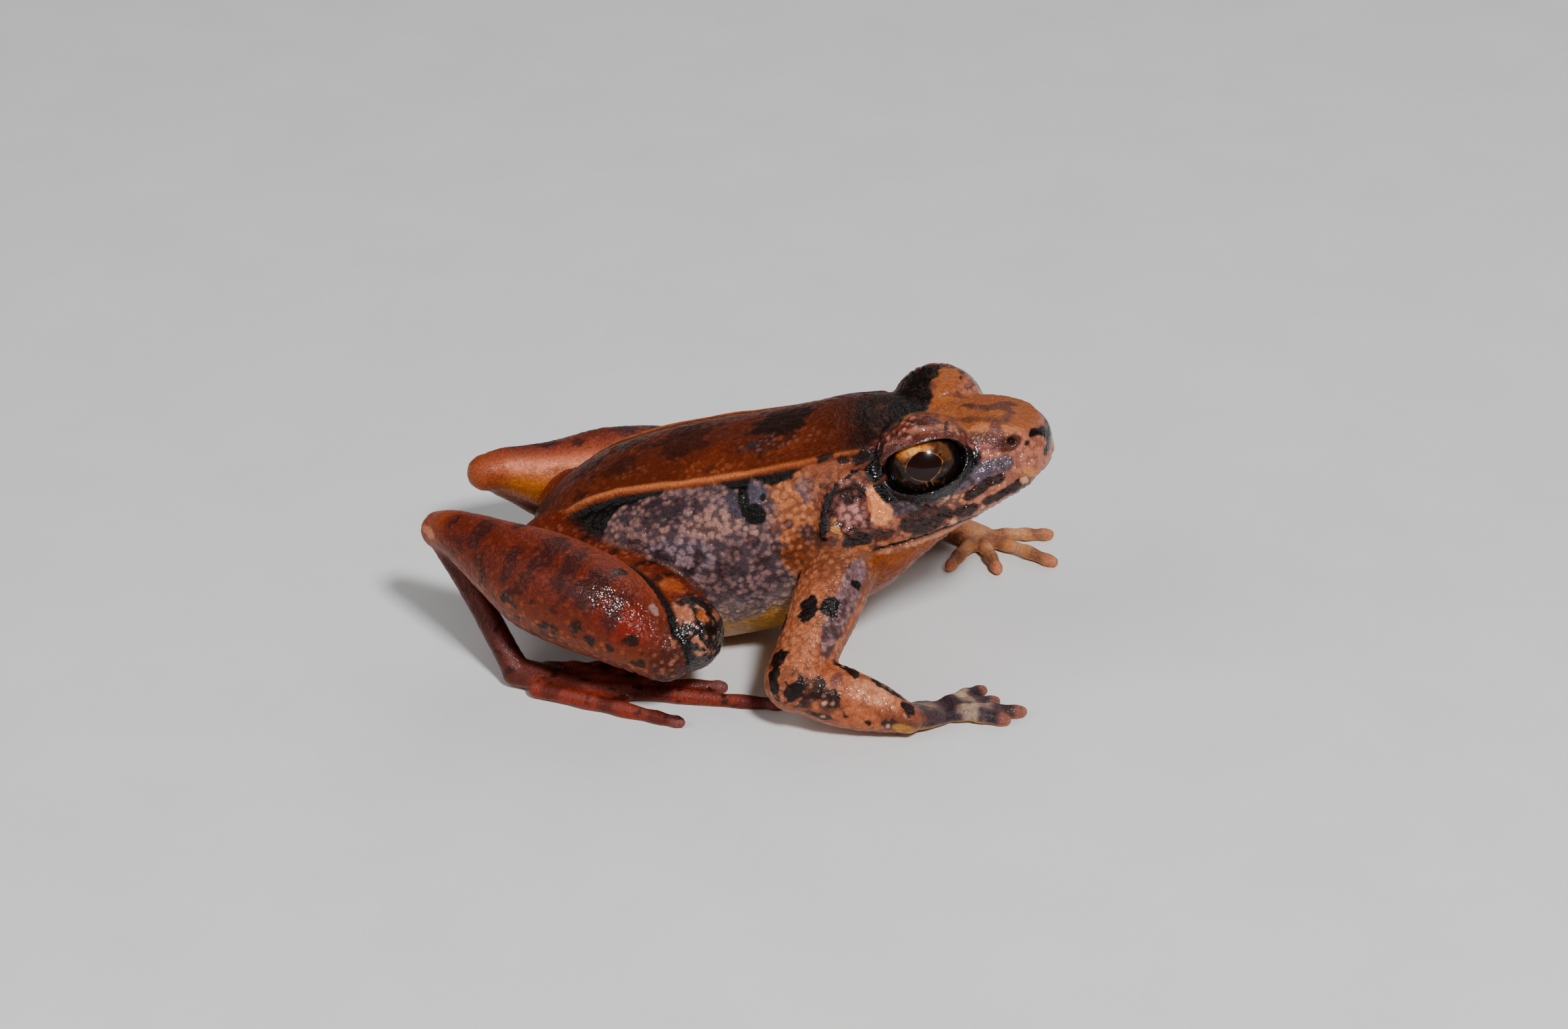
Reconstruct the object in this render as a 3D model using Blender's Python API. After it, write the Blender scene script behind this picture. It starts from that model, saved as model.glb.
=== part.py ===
"""A smooth guardian frog, Limnonectes palavanensis, sitting up as in life, at its real size.

Metres, +Z up. The frog faces +X and its right side faces -Y. Shapes are worked out in millimetres and
scaled as each mesh is made. The head and trunk are one smooth body that thin cuts part into torso, head
and lower jaw. Each limb is a chain of pieces, and each piece is cut clear of the one that it grows from.
"""

import math
from collections import namedtuple

import bmesh
import bpy
import numpy as np
from mathutils import Matrix, Vector

MM = 0.001
GAP = 0.3

# The body frame: its origin lies under the tip of the snout, level with the line of the mouth. Points in
# it are (forward, outward, upward), and the frog holds it pitched up.
BODY_PITCH = math.radians(18)
MOUTH_FRONT = Vector((15.75, 0, 13.04))
# The middle of the footprint, which is moved to the origin at the end.
FOOTPRINT_MIDDLE = Vector((-3.442, 0.752, 0))

# Stations of the head and trunk, from the snout to the vent:
# forward, top, level of the widest part, bottom, half width.
BODY_STATIONS = [
    (0.72, 2.45, 2.10, 1.75, 0.50),
    (0.48, 3.15, 1.70, 0.85, 1.40),
    (-0.15, 3.85, 1.20, 0.35, 2.20),
    (-1.20, 4.45, 0.75, -0.15, 3.00),
    (-2.60, 4.90, 0.55, -0.65, 3.70),
    (-4.50, 5.30, 0.50, -1.25, 4.50),
    (-6.50, 5.75, 0.45, -2.00, 5.15),
    (-9.00, 6.45, 0.50, -3.35, 5.75),
    (-11.60, 6.95, 0.60, -4.90, 6.05),
    (-14.20, 6.95, 0.75, -5.70, 6.05),
    (-17.00, 6.95, 0.90, -6.00, 6.45),
    (-20.00, 7.00, 0.80, -6.10, 7.05),
    (-23.70, 7.05, 0.60, -5.80, 7.25),
    (-27.00, 6.80, 0.80, -4.90, 6.80),
    (-29.60, 6.20, 1.20, -3.70, 5.60),
    (-31.40, 5.30, 1.80, -2.20, 4.10),
    (-32.50, 4.50, 2.20, -0.50, 2.60),
    (-33.05, 3.60, 2.70, 1.70, 0.90),
]
BODY_RINGS = 28
BODY_SIDES = 28
# The head is flat above and narrow under the tip of the jaw; behind it the body is round.
SNOUT_SQUARENESS = 3.0
BACK_SQUARENESS = 2.35
JAW_SQUARENESS = 1.45
BELLY_SQUARENESS = 2.05
JAW_LENGTH = 10
NECK = -13.6

# The eyes, their lids and the opening between the lids.
EYE = Vector((-6.45, 3.35, 3.9))
EYE_AXIS = Vector((0.22, 0.95, 0.18))
EYE_RADIUS = 2.35
LID_DOME = Vector((3.0, 2.95, 2.87))
LID_OPENING = Vector((2.9, 2.2, 1.83))
LID_OPENING_OUT = 2.35
LID_OPENING_DROP = 0.1

# The eardrum, a thin disc behind and below the eye.
EARDRUM = Vector((-11.05, 5.95, 2.75))
EARDRUM_RADIUS = 1.3
EARDRUM_HALF_THICKNESS = 0.28
EARDRUM_RECESS = 0.6
EARDRUM_RECESS_OUT = 0.15
EARDRUM_AXIS = Vector((-0.05, 1, 0.14))

NOSTRIL = Vector((-1.25, 2.15, 3.3))
NOSTRIL_RADIUS = 0.3
NOSTRIL_AXIS = Vector((0.3, 1, 0.3))

# The mouth rises at the tip of the snout and sags a little behind it.
MOUTH_RISE = 0.95
MOUTH_RISE_LENGTH = 1.35
MOUTH_SAG = 0.27
MOUTH_SAG_LENGTH = 3.5

# The pale fold along each side of the back, from behind the eye to the groin: forward, outward, upward.
BACK_FOLD = [
    (-9.4, 3.95, 5.55),
    (-13.0, 4.25, 5.75),
    (-17.0, 4.4, 5.8),
    (-21.0, 4.4, 5.95),
    (-25.0, 3.9, 6.0),
    (-28.5, 3.6, 5.45),
    (-30.6, 3.2, 4.1),
]
BACK_FOLD_RADIUS = 0.42
# The short fold that arches from the eye over the eardrum to the shoulder.
EAR_FOLD = [
    (-8.9, 4.95, 4.5),
    (-10.7, 5.15, 4.65),
    (-12.2, 5.6, 3.8),
    (-12.8, 5.95, 2.8),
    (-13.05, 6.0, 2.2),
]
EAR_FOLD_RADIUS = 0.36

# Joints of the limbs: forward, outward, up. The left hand is set wider than the right one and its fingers
# are spread further, and the left knee is lower.
JOINTS = {
    "right": {
        "shoulder": (3.65, 5.4, 7.6),
        "elbow": (2.0, 11.7, 3.3),
        "wrist": (8.65, 11.3, 1.2),
        "palm_turn": -60,
        "finger_turns": (-50, -30, -13, -2),
        "hip": (-13.2, 3.4, 6.2),
        "knee": (-5.0, 10.4, 5.2),
        "shank": [
            (-6.1, 11.7, 4.8),
            (-7.9, 11.4, 5.7),
            (-10.4, 10.6, 6.7),
            (-14.3, 9.1, 7.3),
            (-17.8, 7.4, 8.0),
            (-20.2, 6.1, 8.4),
            (-21.6, 5.1, 8.0),
        ],
        "ankle": (-15.9, 9.5, 1.0),
        "foot_turn": 1,
    },
    "left": {
        "shoulder": (3.65, 5.4, 7.6),
        "elbow": (2.6, 11.0, 4.4),
        "wrist": (7.6, 14.2, 1.2),
        "palm_turn": -14,
        "finger_turns": (-108, -66, -24, 17),
        "hip": (-13.2, 3.4, 5.9),
        "knee": (-5.4, 10.4, 4.6),
        "shank": [
            (-5.6, 11.5, 4.3),
            (-7.9, 11.1, 4.8),
            (-10.7, 10.1, 5.2),
            (-14.2, 8.5, 5.5),
            (-17.4, 7.0, 6.1),
            (-19.9, 5.8, 6.8),
            (-21.2, 5.0, 6.9),
        ],
        "ankle": (-15.9, 9.1, 1.0),
        "foot_turn": 3,
    },
}
SIDE_SIGN = {"right": -1, "left": 1}

# Radii of the limbs, and how far the roots of arm and leg reach into the body. Where there are two radii,
# the first is level and the second upright.
SHOULDER_ROOT = Vector((0.3, -1.8, 0.5))
SHOULDER_RADIUS = 2.15
MID_ARM_RADIUS = 2.05
ELBOW_RADIUS = 1.9
FOREARM_START_RADIUS = 1.7
FOREARM_RADIUS = 1.85
FOREARM_END_RADIUS = 1.5
WRIST_RADII = (1.1, 0.95)
HIP_ROOT = Vector((-1.3, 0, -0.2))
HIP_ROOT_RADIUS = 2.7
HIP_RADIUS = 3.0
THIGH_RADIUS = 2.75
KNEE_RADIUS = 2.35
SHANK_RADII = (2.0, 2.5, 3.1, 3.1, 2.2, 1.5, 1.2)
HEEL_RADIUS = 1.0
TARSUS_RADIUS = 0.8
ANKLE_RADIUS = 0.85

# The palm, from the wrist to the knuckles: distance, height of its middle, half width, half height. The
# fingers are rooted a little further on.
PALM_START_RADII = (0.88, 0.8)
MID_PALM = (1.1, 0.75, 1.25, 0.72)
KNUCKLES = (2.35, 0.45, 1.5, 0.55)
FINGER_START = 0.4
FINGER_LENGTHS = (4.0, 4.0, 5.3, 4.3)
FINGER_RADIUS = 0.46
FINGER_ARCH = 0.2
# Share of the length and thickness there, with the joints a little thicker.
FINGER_SWELLS = ((0, 1.1), (0.35, 0.92), (0.5, 1.05), (0.7, 0.88), (0.94, 0.98), (1, 0.72))

# The sole, from the ankle on: distance, height of its middle, half width, half height.
SOLE = ((0, 0.9, 0.88, 0.88), (1.8, 0.62, 1.25, 0.72), (3.6, 0.42, 1.5, 0.55))
# Toes from the innermost to the outermost: turn from the foot's own direction, and length from the root.
TOE_START = 1.6
TOE_TURNS = (-19, -12, -8, -3, 11)
TOE_LENGTHS = (5.2, 7.8, 11.2, 15.0, 9.6)
TOE_ROOT_SPREAD = 0.62
TOE_RADIUS = 0.5
TOE_ARCH = 0.1
TOE_SWELLS = ((0, 1.05), (0.3, 1.0), (0.55, 0.94), (0.8, 0.86), (0.96, 0.88), (1, 0.64))
WEB_SHARE = (0.80, 0.72, 0.62, 0.46, 0.72)
WEB_NOTCH = 0.75
WEB_LEVELS = (0.04, 0.54)
# The middle of a finger or toe lies at this share of its radius over the floor, so that it rests on a flat.
REST_SHARE = 0.8

COLOURS = {
    "back_skin": ((0.20, 0.075, 0.035, 1), 0.42),
    "head_skin": ((0.42, 0.21, 0.10, 1), 0.40),
    "arm_skin": ((0.45, 0.20, 0.10, 1), 0.40),
    "leg_skin": ((0.33, 0.085, 0.045, 1), 0.36),
    "throat_skin": ((0.62, 0.34, 0.10, 1), 0.45),
    "eardrum_skin": ((0.14, 0.065, 0.045, 1), 0.35),
    "eye": ((0.05, 0.028, 0.018, 1), 0.05),
}


def clear_scene():
    for thing in list(bpy.data.objects):
        bpy.data.objects.remove(thing)


def material_named(name):
    found = bpy.data.materials.get(name)
    if found:
        return found
    made = bpy.data.materials.new(name)
    made.use_nodes = True
    colour, roughness = COLOURS[name]
    shader = made.node_tree.nodes["Principled BSDF"]
    shader.inputs["Base Color"].default_value = colour
    shader.inputs["Roughness"].default_value = roughness
    made.diffuse_color = colour
    return made


def new_object(name, points, faces):
    """An object from points in millimetres, with its faces turned outward."""
    mesh = bpy.data.meshes.new(name)
    mesh.from_pydata([Vector(p) * MM for p in points], [], faces)
    work = bmesh.new()
    work.from_mesh(mesh)
    bmesh.ops.remove_doubles(work, verts=work.verts, dist=0.004 * MM)
    bmesh.ops.recalc_face_normals(work, faces=work.faces)
    work.to_mesh(mesh)
    work.free()
    made = bpy.data.objects.new(name, mesh)
    bpy.context.scene.collection.objects.link(made)
    return made


def smooth_rows(rows, count):
    """Catmull-Rom rows through the given ones, evenly spaced along the first three columns."""
    given = np.array(rows, float)
    padded = np.vstack([2 * given[0] - given[1], given, 2 * given[-1] - given[-2]])
    fine = []
    for i in range(len(given) - 1):
        a, b, c, d = padded[i : i + 4]
        for t in np.linspace(0, 1, 16, endpoint=False):
            fine.append(
                0.5 * (2 * b + (c - a) * t + (2 * a - 5 * b + 4 * c - d) * t**2 + (3 * b - a - 3 * c + d) * t**3)
            )
    fine.append(given[-1])
    fine = np.array(fine)
    steps = np.linalg.norm(np.diff(fine[:, :3], axis=0), axis=1)
    reach = np.concatenate([[0], np.cumsum(steps)])
    wanted = np.linspace(0, reach[-1], count)
    return np.column_stack([np.interp(wanted, reach, column) for column in fine.T])


def skin_rings(rings, first_pole, last_pole):
    """Points and faces of a closed surface over rings of equal size, with a pole at each end."""
    sides = len(rings[0])
    points = [p for ring in rings for p in ring] + [first_pole, last_pole]
    faces = []
    for i in range(len(rings) - 1):
        for j in range(sides):
            k = (j + 1) % sides
            faces.append((i * sides + j, i * sides + k, (i + 1) * sides + k, (i + 1) * sides + j))
    start, end, last = len(points) - 2, len(points) - 1, (len(rings) - 1) * sides
    for j in range(sides):
        k = (j + 1) % sides
        faces.append((start, k, j))
        faces.append((end, last + j, last + k))
    return points, faces


def body_point(forward, outward, upward):
    """A point of the body frame in the frog's own millimetres."""
    along = Vector((math.cos(BODY_PITCH), 0, math.sin(BODY_PITCH)))
    above = Vector((-math.sin(BODY_PITCH), 0, math.cos(BODY_PITCH)))
    return MOUTH_FRONT + along * forward + Vector((0, outward, 0)) + above * upward


def signed_power(value, power):
    return math.copysign(abs(value) ** power, value)


def on_floor(point, level=0):
    """The point, lifted to the floor where it lies below it, which makes the small flats to rest on."""
    return Vector((point[0], point[1], max(point[2], level)))


def make_body(name):
    """The head and trunk as one smooth closed body."""
    rings = []
    rows = smooth_rows([(s[0], 0.25 * s[4], 0, *s[1:]) for s in BODY_STATIONS], BODY_RINGS)
    for forward, _, _, top, middle, bottom, half_width in rows:
        ring = []
        for j in range(BODY_SIDES):
            turn = math.tau * j / BODY_SIDES
            rise = math.sin(turn)
            share = min(max(-forward / JAW_LENGTH, 0), 1)
            upper = SNOUT_SQUARENESS + (BACK_SQUARENESS - SNOUT_SQUARENESS) * share
            lower = JAW_SQUARENESS + (BELLY_SQUARENESS - JAW_SQUARENESS) * share
            power = 2 / (upper if rise > 0 else lower)
            height = (top - middle) if rise > 0 else (middle - bottom)
            ring.append(
                on_floor(
                    body_point(
                        forward,
                        half_width * signed_power(math.cos(turn), power),
                        middle + height * signed_power(rise, power),
                    )
                )
            )
        rings.append(ring)
    nose = body_point(BODY_STATIONS[0][0] + 0.04, 0, BODY_STATIONS[0][2])
    vent = body_point(BODY_STATIONS[-1][0] - 0.2, 0, BODY_STATIONS[-1][2])
    return new_object(name, *skin_rings(rings, nose, vent))


# A round-ended limb along a smooth path: stations from station(), rings and sides.
Limb = namedtuple("Limb", "name stations rings sides")
LIMB_CAP = (0.5, 1.05)


def make_limb(limb, grow=0):
    """The limb's closed body. With grow it is the room that the neighbours leave for it."""
    path = smooth_rows(limb.stations, limb.rings)
    path[:, 3:] += grow
    last = len(path) - 1
    centres = [Vector(row[:3]) for row in path]
    tangents = [(centres[min(i + 1, last)] - centres[max(i - 1, 0)]).normalized() for i in range(last + 1)]
    level = -2 * GAP if grow else 0
    steep = abs(tangents[0].z) > 0.8 or abs(tangents[last].z) > 0.8
    rings = []

    def ring_at(i, shift, share):
        side = Vector((1, 0, 0) if steep else (0, 0, 1)).cross(tangents[i]).normalized()
        above = tangents[i].cross(side)
        across, through = path[i][3] * share, path[i][4] * share
        centre = centres[i] + tangents[i] * shift * path[i][3]
        return [
            on_floor(centre + side * across * math.cos(turn) + above * through * math.sin(turn), level)
            for turn in np.linspace(0, math.tau, limb.sides, endpoint=False)
        ]

    for turn in LIMB_CAP:
        rings.append(ring_at(0, -math.cos(turn), math.sin(turn)))
    for i in range(last + 1):
        rings.append(ring_at(i, 0, 1))
    for turn in reversed(LIMB_CAP):
        rings.append(ring_at(last, math.cos(turn), math.sin(turn)))
    first = on_floor(centres[0] - tangents[0] * path[0][3], level)
    final = on_floor(centres[last] + tangents[last] * path[last][3], level)
    return new_object(limb.name, *skin_rings(rings, first, final))


def make_ellipsoid(name, centre, axes, radii, segments, rings):
    """An ellipsoid with its poles on the last of three axes."""
    rows = []
    for i in range(1, rings):
        tilt = math.pi * i / rings
        rows.append(
            [
                centre
                + axes[0] * radii[0] * math.sin(tilt) * math.cos(math.tau * j / segments)
                + axes[1] * radii[1] * math.sin(tilt) * math.sin(math.tau * j / segments)
                + axes[2] * radii[2] * math.cos(tilt)
                for j in range(segments)
            ]
        )
    poles = centre + axes[2] * radii[2], centre - axes[2] * radii[2]
    return new_object(name, *skin_rings(rows, *poles))


def make_prism(name, outline, half_width):
    """A closed outline of the body frame's middle plane, pushed out to both sides."""
    count = len(outline)
    points = [body_point(f, w, u) for w in (-half_width, half_width) for f, u in outline]
    faces = [tuple(range(count)), tuple(range(2 * count - 1, count - 1, -1))]
    faces += [(j, (j + 1) % count, count + (j + 1) % count, count + j) for j in range(count)]
    return new_object(name, points, faces)


def copy_of(thing, name):
    made = bpy.data.objects.new(name, thing.data.copy())
    bpy.context.scene.collection.objects.link(made)
    return made


def settle(thing):
    """Applies the object's modifiers."""
    graph = bpy.context.evaluated_depsgraph_get()
    mesh = bpy.data.meshes.new_from_object(thing.evaluated_get(graph))
    thing.modifiers.clear()
    thing.data = mesh


def keep_largest(thing):
    """Keeps the largest closed surface of the object, by the size of its box."""
    work = bmesh.new()
    work.from_mesh(thing.data)
    left, shells = set(work.verts), []
    while left:
        todo, shell = [left.pop()], set()
        while todo:
            vertex = todo.pop()
            shell.add(vertex)
            for edge in vertex.link_edges:
                other = edge.other_vert(vertex)
                if other in left:
                    left.remove(other)
                    todo.append(other)
        shells.append(shell)

    def spread(shell):
        places = np.array([v.co for v in shell])
        return float(np.prod(places.max(0) - places.min(0)))

    largest = max(shells, key=spread)
    bmesh.ops.delete(work, geom=[v for v in work.verts if v not in largest], context="VERTS")
    work.to_mesh(thing.data)
    work.free()


def combine(thing, other, operation):
    """A Boolean of two closed objects, applied."""
    step = thing.modifiers.new(operation.title(), "BOOLEAN")
    step.operation = operation
    step.object = other
    settle(thing)
    keep_largest(thing)
    bpy.data.objects.remove(other)


def swollen(thing, distance):
    """A copy with its skin moved out, which cuts a neighbour clear of the object."""
    made = copy_of(thing, thing.name + "_clearance")
    step = made.modifiers.new("Displace", "DISPLACE")
    step.strength = distance * MM
    step.mid_level = 0
    settle(made)
    return made


def cut_clear(thing, body, *limbs):
    """Takes from the piece the room of the body and of the limbs that it meets."""
    combine(thing, swollen(body, GAP), "DIFFERENCE")
    for limb in limbs:
        combine(thing, make_limb(limb, GAP), "DIFFERENCE")


def body_axes(direction):
    """Three axes in the frog's own space, the last along a direction of the body frame."""
    origin = body_point(0, 0, 0)
    last = (body_point(*direction) - origin).normalized()
    second = (body_point(0, 0, 1) - origin).normalized()
    first = second.cross(last).normalized()
    return first, last.cross(first), last


def mirrored(point, sign):
    return Vector((point[0], sign * point[1], point[2]))


def mouth_level(forward):
    """Height of the mouth's line in the body frame."""
    front = BODY_STATIONS[0][0]
    rise = MOUTH_RISE * math.exp(-((min(forward, front) - front) ** 2) / MOUTH_RISE_LENGTH**2)
    return rise - MOUTH_SAG * (1 - math.exp(-((forward / MOUTH_SAG_LENGTH) ** 2)))


def mouth_prism(name, offset, far):
    """A closed block whose one side is the mouth's line, moved by offset, and whose other side is far off."""
    reaches = np.linspace(4, NECK - 6, 20)
    line = [(f, mouth_level(f) + offset) for f in reaches]
    return make_prism(name, line + [(reaches[-1], far), (reaches[0], far)], 12)


def make_torso(body):
    torso = copy_of(body, "torso")
    behind = [(NECK, -25), (NECK, 25), (NECK - 60, 25), (NECK - 60, -25)]
    combine(torso, make_prism("behind_neck", behind, 30), "INTERSECT")
    return torso


def add_folds(body):
    """The ridges along the back and over the eardrum, sunk into the body."""
    for sign in (-1, 1):
        for name, path, radius, count in (
            ("back_fold", BACK_FOLD, BACK_FOLD_RADIUS, 13),
            ("ear_fold", EAR_FOLD, EAR_FOLD_RADIUS, 8),
        ):
            rows = []
            for i, (forward, outward, upward) in enumerate(path):
                place = body_point(forward, sign * outward, upward)
                share = 0.75 if i in (0, len(path) - 1) else 1
                rows.append(station(place, radius * share))
            combine(body, make_limb(Limb(name, rows, count, 7)), "UNION")


def make_head(body):
    """The upper head and the lower jaw, parted by the line of the mouth."""
    head = copy_of(body, "head")
    front = NECK + GAP
    ahead = [(front, -25), (front, 25), (front + 40, 25), (front + 40, -25)]
    combine(head, make_prism("before_neck", ahead, 30), "INTERSECT")
    jaw = copy_of(head, "lower_jaw")
    combine(jaw, mouth_prism("below_mouth", -GAP / 2, -25), "INTERSECT")
    combine(head, mouth_prism("above_mouth", GAP / 2, 25), "INTERSECT")
    eyes, eardrums = [], []
    for side, sign in SIDE_SIGN.items():
        centre = body_point(*mirrored(EYE, sign))
        level = body_axes((0, sign, 0))
        combine(head, make_ellipsoid("lid", centre, level, (LID_DOME.x, LID_DOME.z, LID_DOME.y), 20, 12), "UNION")
    for side, sign in SIDE_SIGN.items():
        centre = body_point(*mirrored(EYE, sign))
        sight = body_axes(mirrored(EYE_AXIS, sign))
        opening = centre + sight[2] * LID_OPENING_OUT - sight[1] * LID_OPENING_DROP
        size = (LID_OPENING.x, LID_OPENING.z, LID_OPENING.y)
        combine(head, make_ellipsoid("opening", opening, sight, size, 22, 10), "DIFFERENCE")
        socket = EYE_RADIUS + GAP
        combine(head, make_ellipsoid("socket", centre, sight, (socket,) * 3, 18, 10), "DIFFERENCE")
        eyes.append(make_ellipsoid("eye_" + side, centre, sight, (EYE_RADIUS,) * 3, 18, 10))

        nostril = body_point(*mirrored(NOSTRIL, sign))
        inward = body_axes(mirrored(NOSTRIL_AXIS, sign))
        hole = make_ellipsoid("nostril", nostril, inward, (NOSTRIL_RADIUS,) * 3, 8, 6)
        combine(head, hole, "DIFFERENCE")

        outward = body_axes(mirrored(EARDRUM_AXIS, sign))
        middle = body_point(*mirrored(EARDRUM, sign))
        wide = EARDRUM_RADIUS + GAP
        deep = middle + outward[2] * EARDRUM_RECESS_OUT
        recess = make_ellipsoid("recess", deep, outward, (wide, wide, EARDRUM_RECESS), 20, 8)
        combine(head, recess, "DIFFERENCE")
        thin = (EARDRUM_RADIUS, EARDRUM_RADIUS, EARDRUM_HALF_THICKNESS)
        eardrums.append(make_ellipsoid("eardrum_" + side, middle, outward, thin, 18, 6))
    return head, jaw, eyes, eardrums


def turned(degrees, sign):
    """A level direction, turned outward from straight ahead."""
    return Vector((math.cos(math.radians(degrees)), sign * math.sin(math.radians(degrees)), 0))


def station(place, across, through=None):
    """A station of a limb: its centre and its radii."""
    return (*place, across, across if through is None else through)


def flat_stations(floor, ahead, rows):
    """Stations of a palm or sole from rows of distance, height, half width and half height."""
    return [station(floor + ahead * row[0] + Vector((0, 0, row[1])), *row[2:]) for row in rows]


def make_arm(side, body):
    """Upper arm, forearm, palm and four fingers of one side."""
    sign = SIDE_SIGN[side]
    joints = JOINTS[side]
    shoulder, elbow, wrist = (mirrored(joints[k], sign) for k in ("shoulder", "elbow", "wrist"))
    upper = Limb(
        "upper_arm_" + side,
        [
            station(shoulder + mirrored(SHOULDER_ROOT, sign), SHOULDER_RADIUS),
            station(shoulder, SHOULDER_RADIUS),
            station(shoulder.lerp(elbow, 0.5), MID_ARM_RADIUS),
            station(elbow, ELBOW_RADIUS),
        ],
        8,
        14,
    )
    fore = Limb(
        "forearm_" + side,
        [
            station(elbow.lerp(wrist, 0.05), FOREARM_START_RADIUS),
            station(elbow.lerp(wrist, 0.35), FOREARM_RADIUS),
            station(elbow.lerp(wrist, 0.72), FOREARM_END_RADIUS),
            station(wrist, *WRIST_RADII),
        ],
        9,
        14,
    )
    ahead = turned(joints["palm_turn"], sign)
    floor = Vector((wrist.x, wrist.y, 0))
    palm = Limb(
        "hand_" + side,
        [station(wrist, *PALM_START_RADII), *flat_stations(floor, ahead, (MID_PALM, KNUCKLES))],
        7,
        14,
    )
    knuckles = floor + ahead * KNUCKLES[0]
    fingers = []
    for number, (turn, length) in enumerate(zip(joints["finger_turns"], FINGER_LENGTHS), 1):
        away = turned(turn, sign)
        start = knuckles + away * FINGER_START
        stations = []
        for share, swell in FINGER_SWELLS:
            height = FINGER_RADIUS * REST_SHARE + FINGER_ARCH * max(math.sin(math.pi * (share + 0.05)), 0)
            place = start + away * length * share + Vector((0, 0, height))
            stations.append(station(place, FINGER_RADIUS * swell))
        fingers.append(Limb(f"finger_{number}_{side}", stations, 8, 8))
    pieces = [make_limb(limb) for limb in (upper, fore, palm, *fingers)]
    cut_clear(pieces[0], body)
    cut_clear(pieces[1], body, upper)
    cut_clear(pieces[2], body, fore)
    for i, finger in enumerate(pieces[3:]):
        cut_clear(finger, body, palm, *fingers[:i])
    return pieces


def make_leg(side, body):
    """Thigh, shank, tarsus and foot of one side."""
    sign = SIDE_SIGN[side]
    joints = JOINTS[side]
    hip, knee, ankle = (mirrored(joints[k], sign) for k in ("hip", "knee", "ankle"))
    shank_path = [mirrored(place, sign) for place in joints["shank"]]
    heel = shank_path[-1]
    thigh = Limb(
        "thigh_" + side,
        [
            station(hip + HIP_ROOT, HIP_ROOT_RADIUS),
            station(hip, HIP_RADIUS),
            station(hip.lerp(knee, 0.5), THIGH_RADIUS),
            station(hip.lerp(knee, 0.85), (THIGH_RADIUS + KNEE_RADIUS) / 2),
            station(knee, KNEE_RADIUS),
        ],
        10,
        16,
    )
    shank = Limb("shank_" + side, [station(*pair) for pair in zip(shank_path, SHANK_RADII)], 14, 16)
    tarsus = Limb(
        "tarsus_" + side,
        [
            station(heel.lerp(ankle, 0.04), HEEL_RADIUS),
            station(heel.lerp(ankle, 0.35), TARSUS_RADIUS),
            station(heel.lerp(ankle, 0.75), TARSUS_RADIUS),
            station(ankle, ANKLE_RADIUS),
        ],
        7,
        12,
    )
    pieces = [make_limb(limb) for limb in (thigh, shank, tarsus)]
    pieces.append(make_foot("foot_" + side, ankle, joints["foot_turn"], sign))
    cut_clear(pieces[0], body)
    cut_clear(pieces[1], body, thigh)
    cut_clear(pieces[2], body, shank)
    cut_clear(pieces[3], body, tarsus)
    return pieces


def make_foot(name, ankle, turn, sign):
    """The sole, five toes and the web between them, joined in one closed body."""
    ahead = turned(turn, sign)
    across = turned(turn + 90, sign)
    floor = Vector((ankle.x, ankle.y, 0))
    foot = make_limb(Limb(name, flat_stations(floor, ahead, SOLE), 6, 14))
    roots, webbed = [], []
    for i, (toe_turn, length) in enumerate(zip(TOE_TURNS, TOE_LENGTHS)):
        away = turned(turn + toe_turn, sign)
        start = floor + ahead * TOE_START + across * (i - 2) * TOE_ROOT_SPREAD
        stations = []
        for share, swell in TOE_SWELLS:
            height = TOE_RADIUS * REST_SHARE + TOE_ARCH * math.cos(math.pi * share)
            place = start + away * length * share + Vector((0, 0, height))
            stations.append(station(place, TOE_RADIUS * swell))
        combine(foot, make_limb(Limb("toe", stations, 7, 7)), "UNION")
        roots.append(start)
        webbed.append(start + away * length * WEB_SHARE[i])
    combine(foot, make_web(roots, webbed), "UNION")
    return foot


def make_web(roots, tips):
    """A thin plate between the toes whose edge curves in from one toe to the next."""
    edge = [tips[0]]
    for i in range(len(roots) - 1):
        hollow = ((roots[i] + roots[i + 1]) / 2).lerp((tips[i] + tips[i + 1]) / 2, WEB_NOTCH)
        for share in (0.25, 0.5, 0.75):
            edge.append(tips[i].lerp(tips[i + 1], share).lerp(hollow, 1 - (2 * share - 1) ** 2))
        edge.append(tips[i + 1])
    outline = [roots[0], *edge, roots[-1]]
    count = len(outline)
    points = [Vector((*p.xy, height)) for height in WEB_LEVELS for p in outline]
    faces = [tuple(range(count)), tuple(range(2 * count - 1, count - 1, -1))]
    faces += [(j, (j + 1) % count, count + (j + 1) % count, count + j) for j in range(count)]
    return new_object("web", points, faces)


def finish_node(node, slot, parent):
    """Smooth shading, a material, and an origin at the middle of the node's own box."""
    node.data.transform(Matrix.Translation(-FOOTPRINT_MIDDLE * MM))
    places = np.array([v.co for v in node.data.vertices])
    middle = Vector((places.min(0) + places.max(0)) / 2)
    node.data.transform(Matrix.Translation(-middle))
    node.location = middle
    node.parent = parent
    node.data.materials.clear()
    node.data.materials.append(material_named(slot))
    node.data.shade_smooth()
    node.data.set_sharp_from_angle(angle=math.radians(40))


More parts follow.
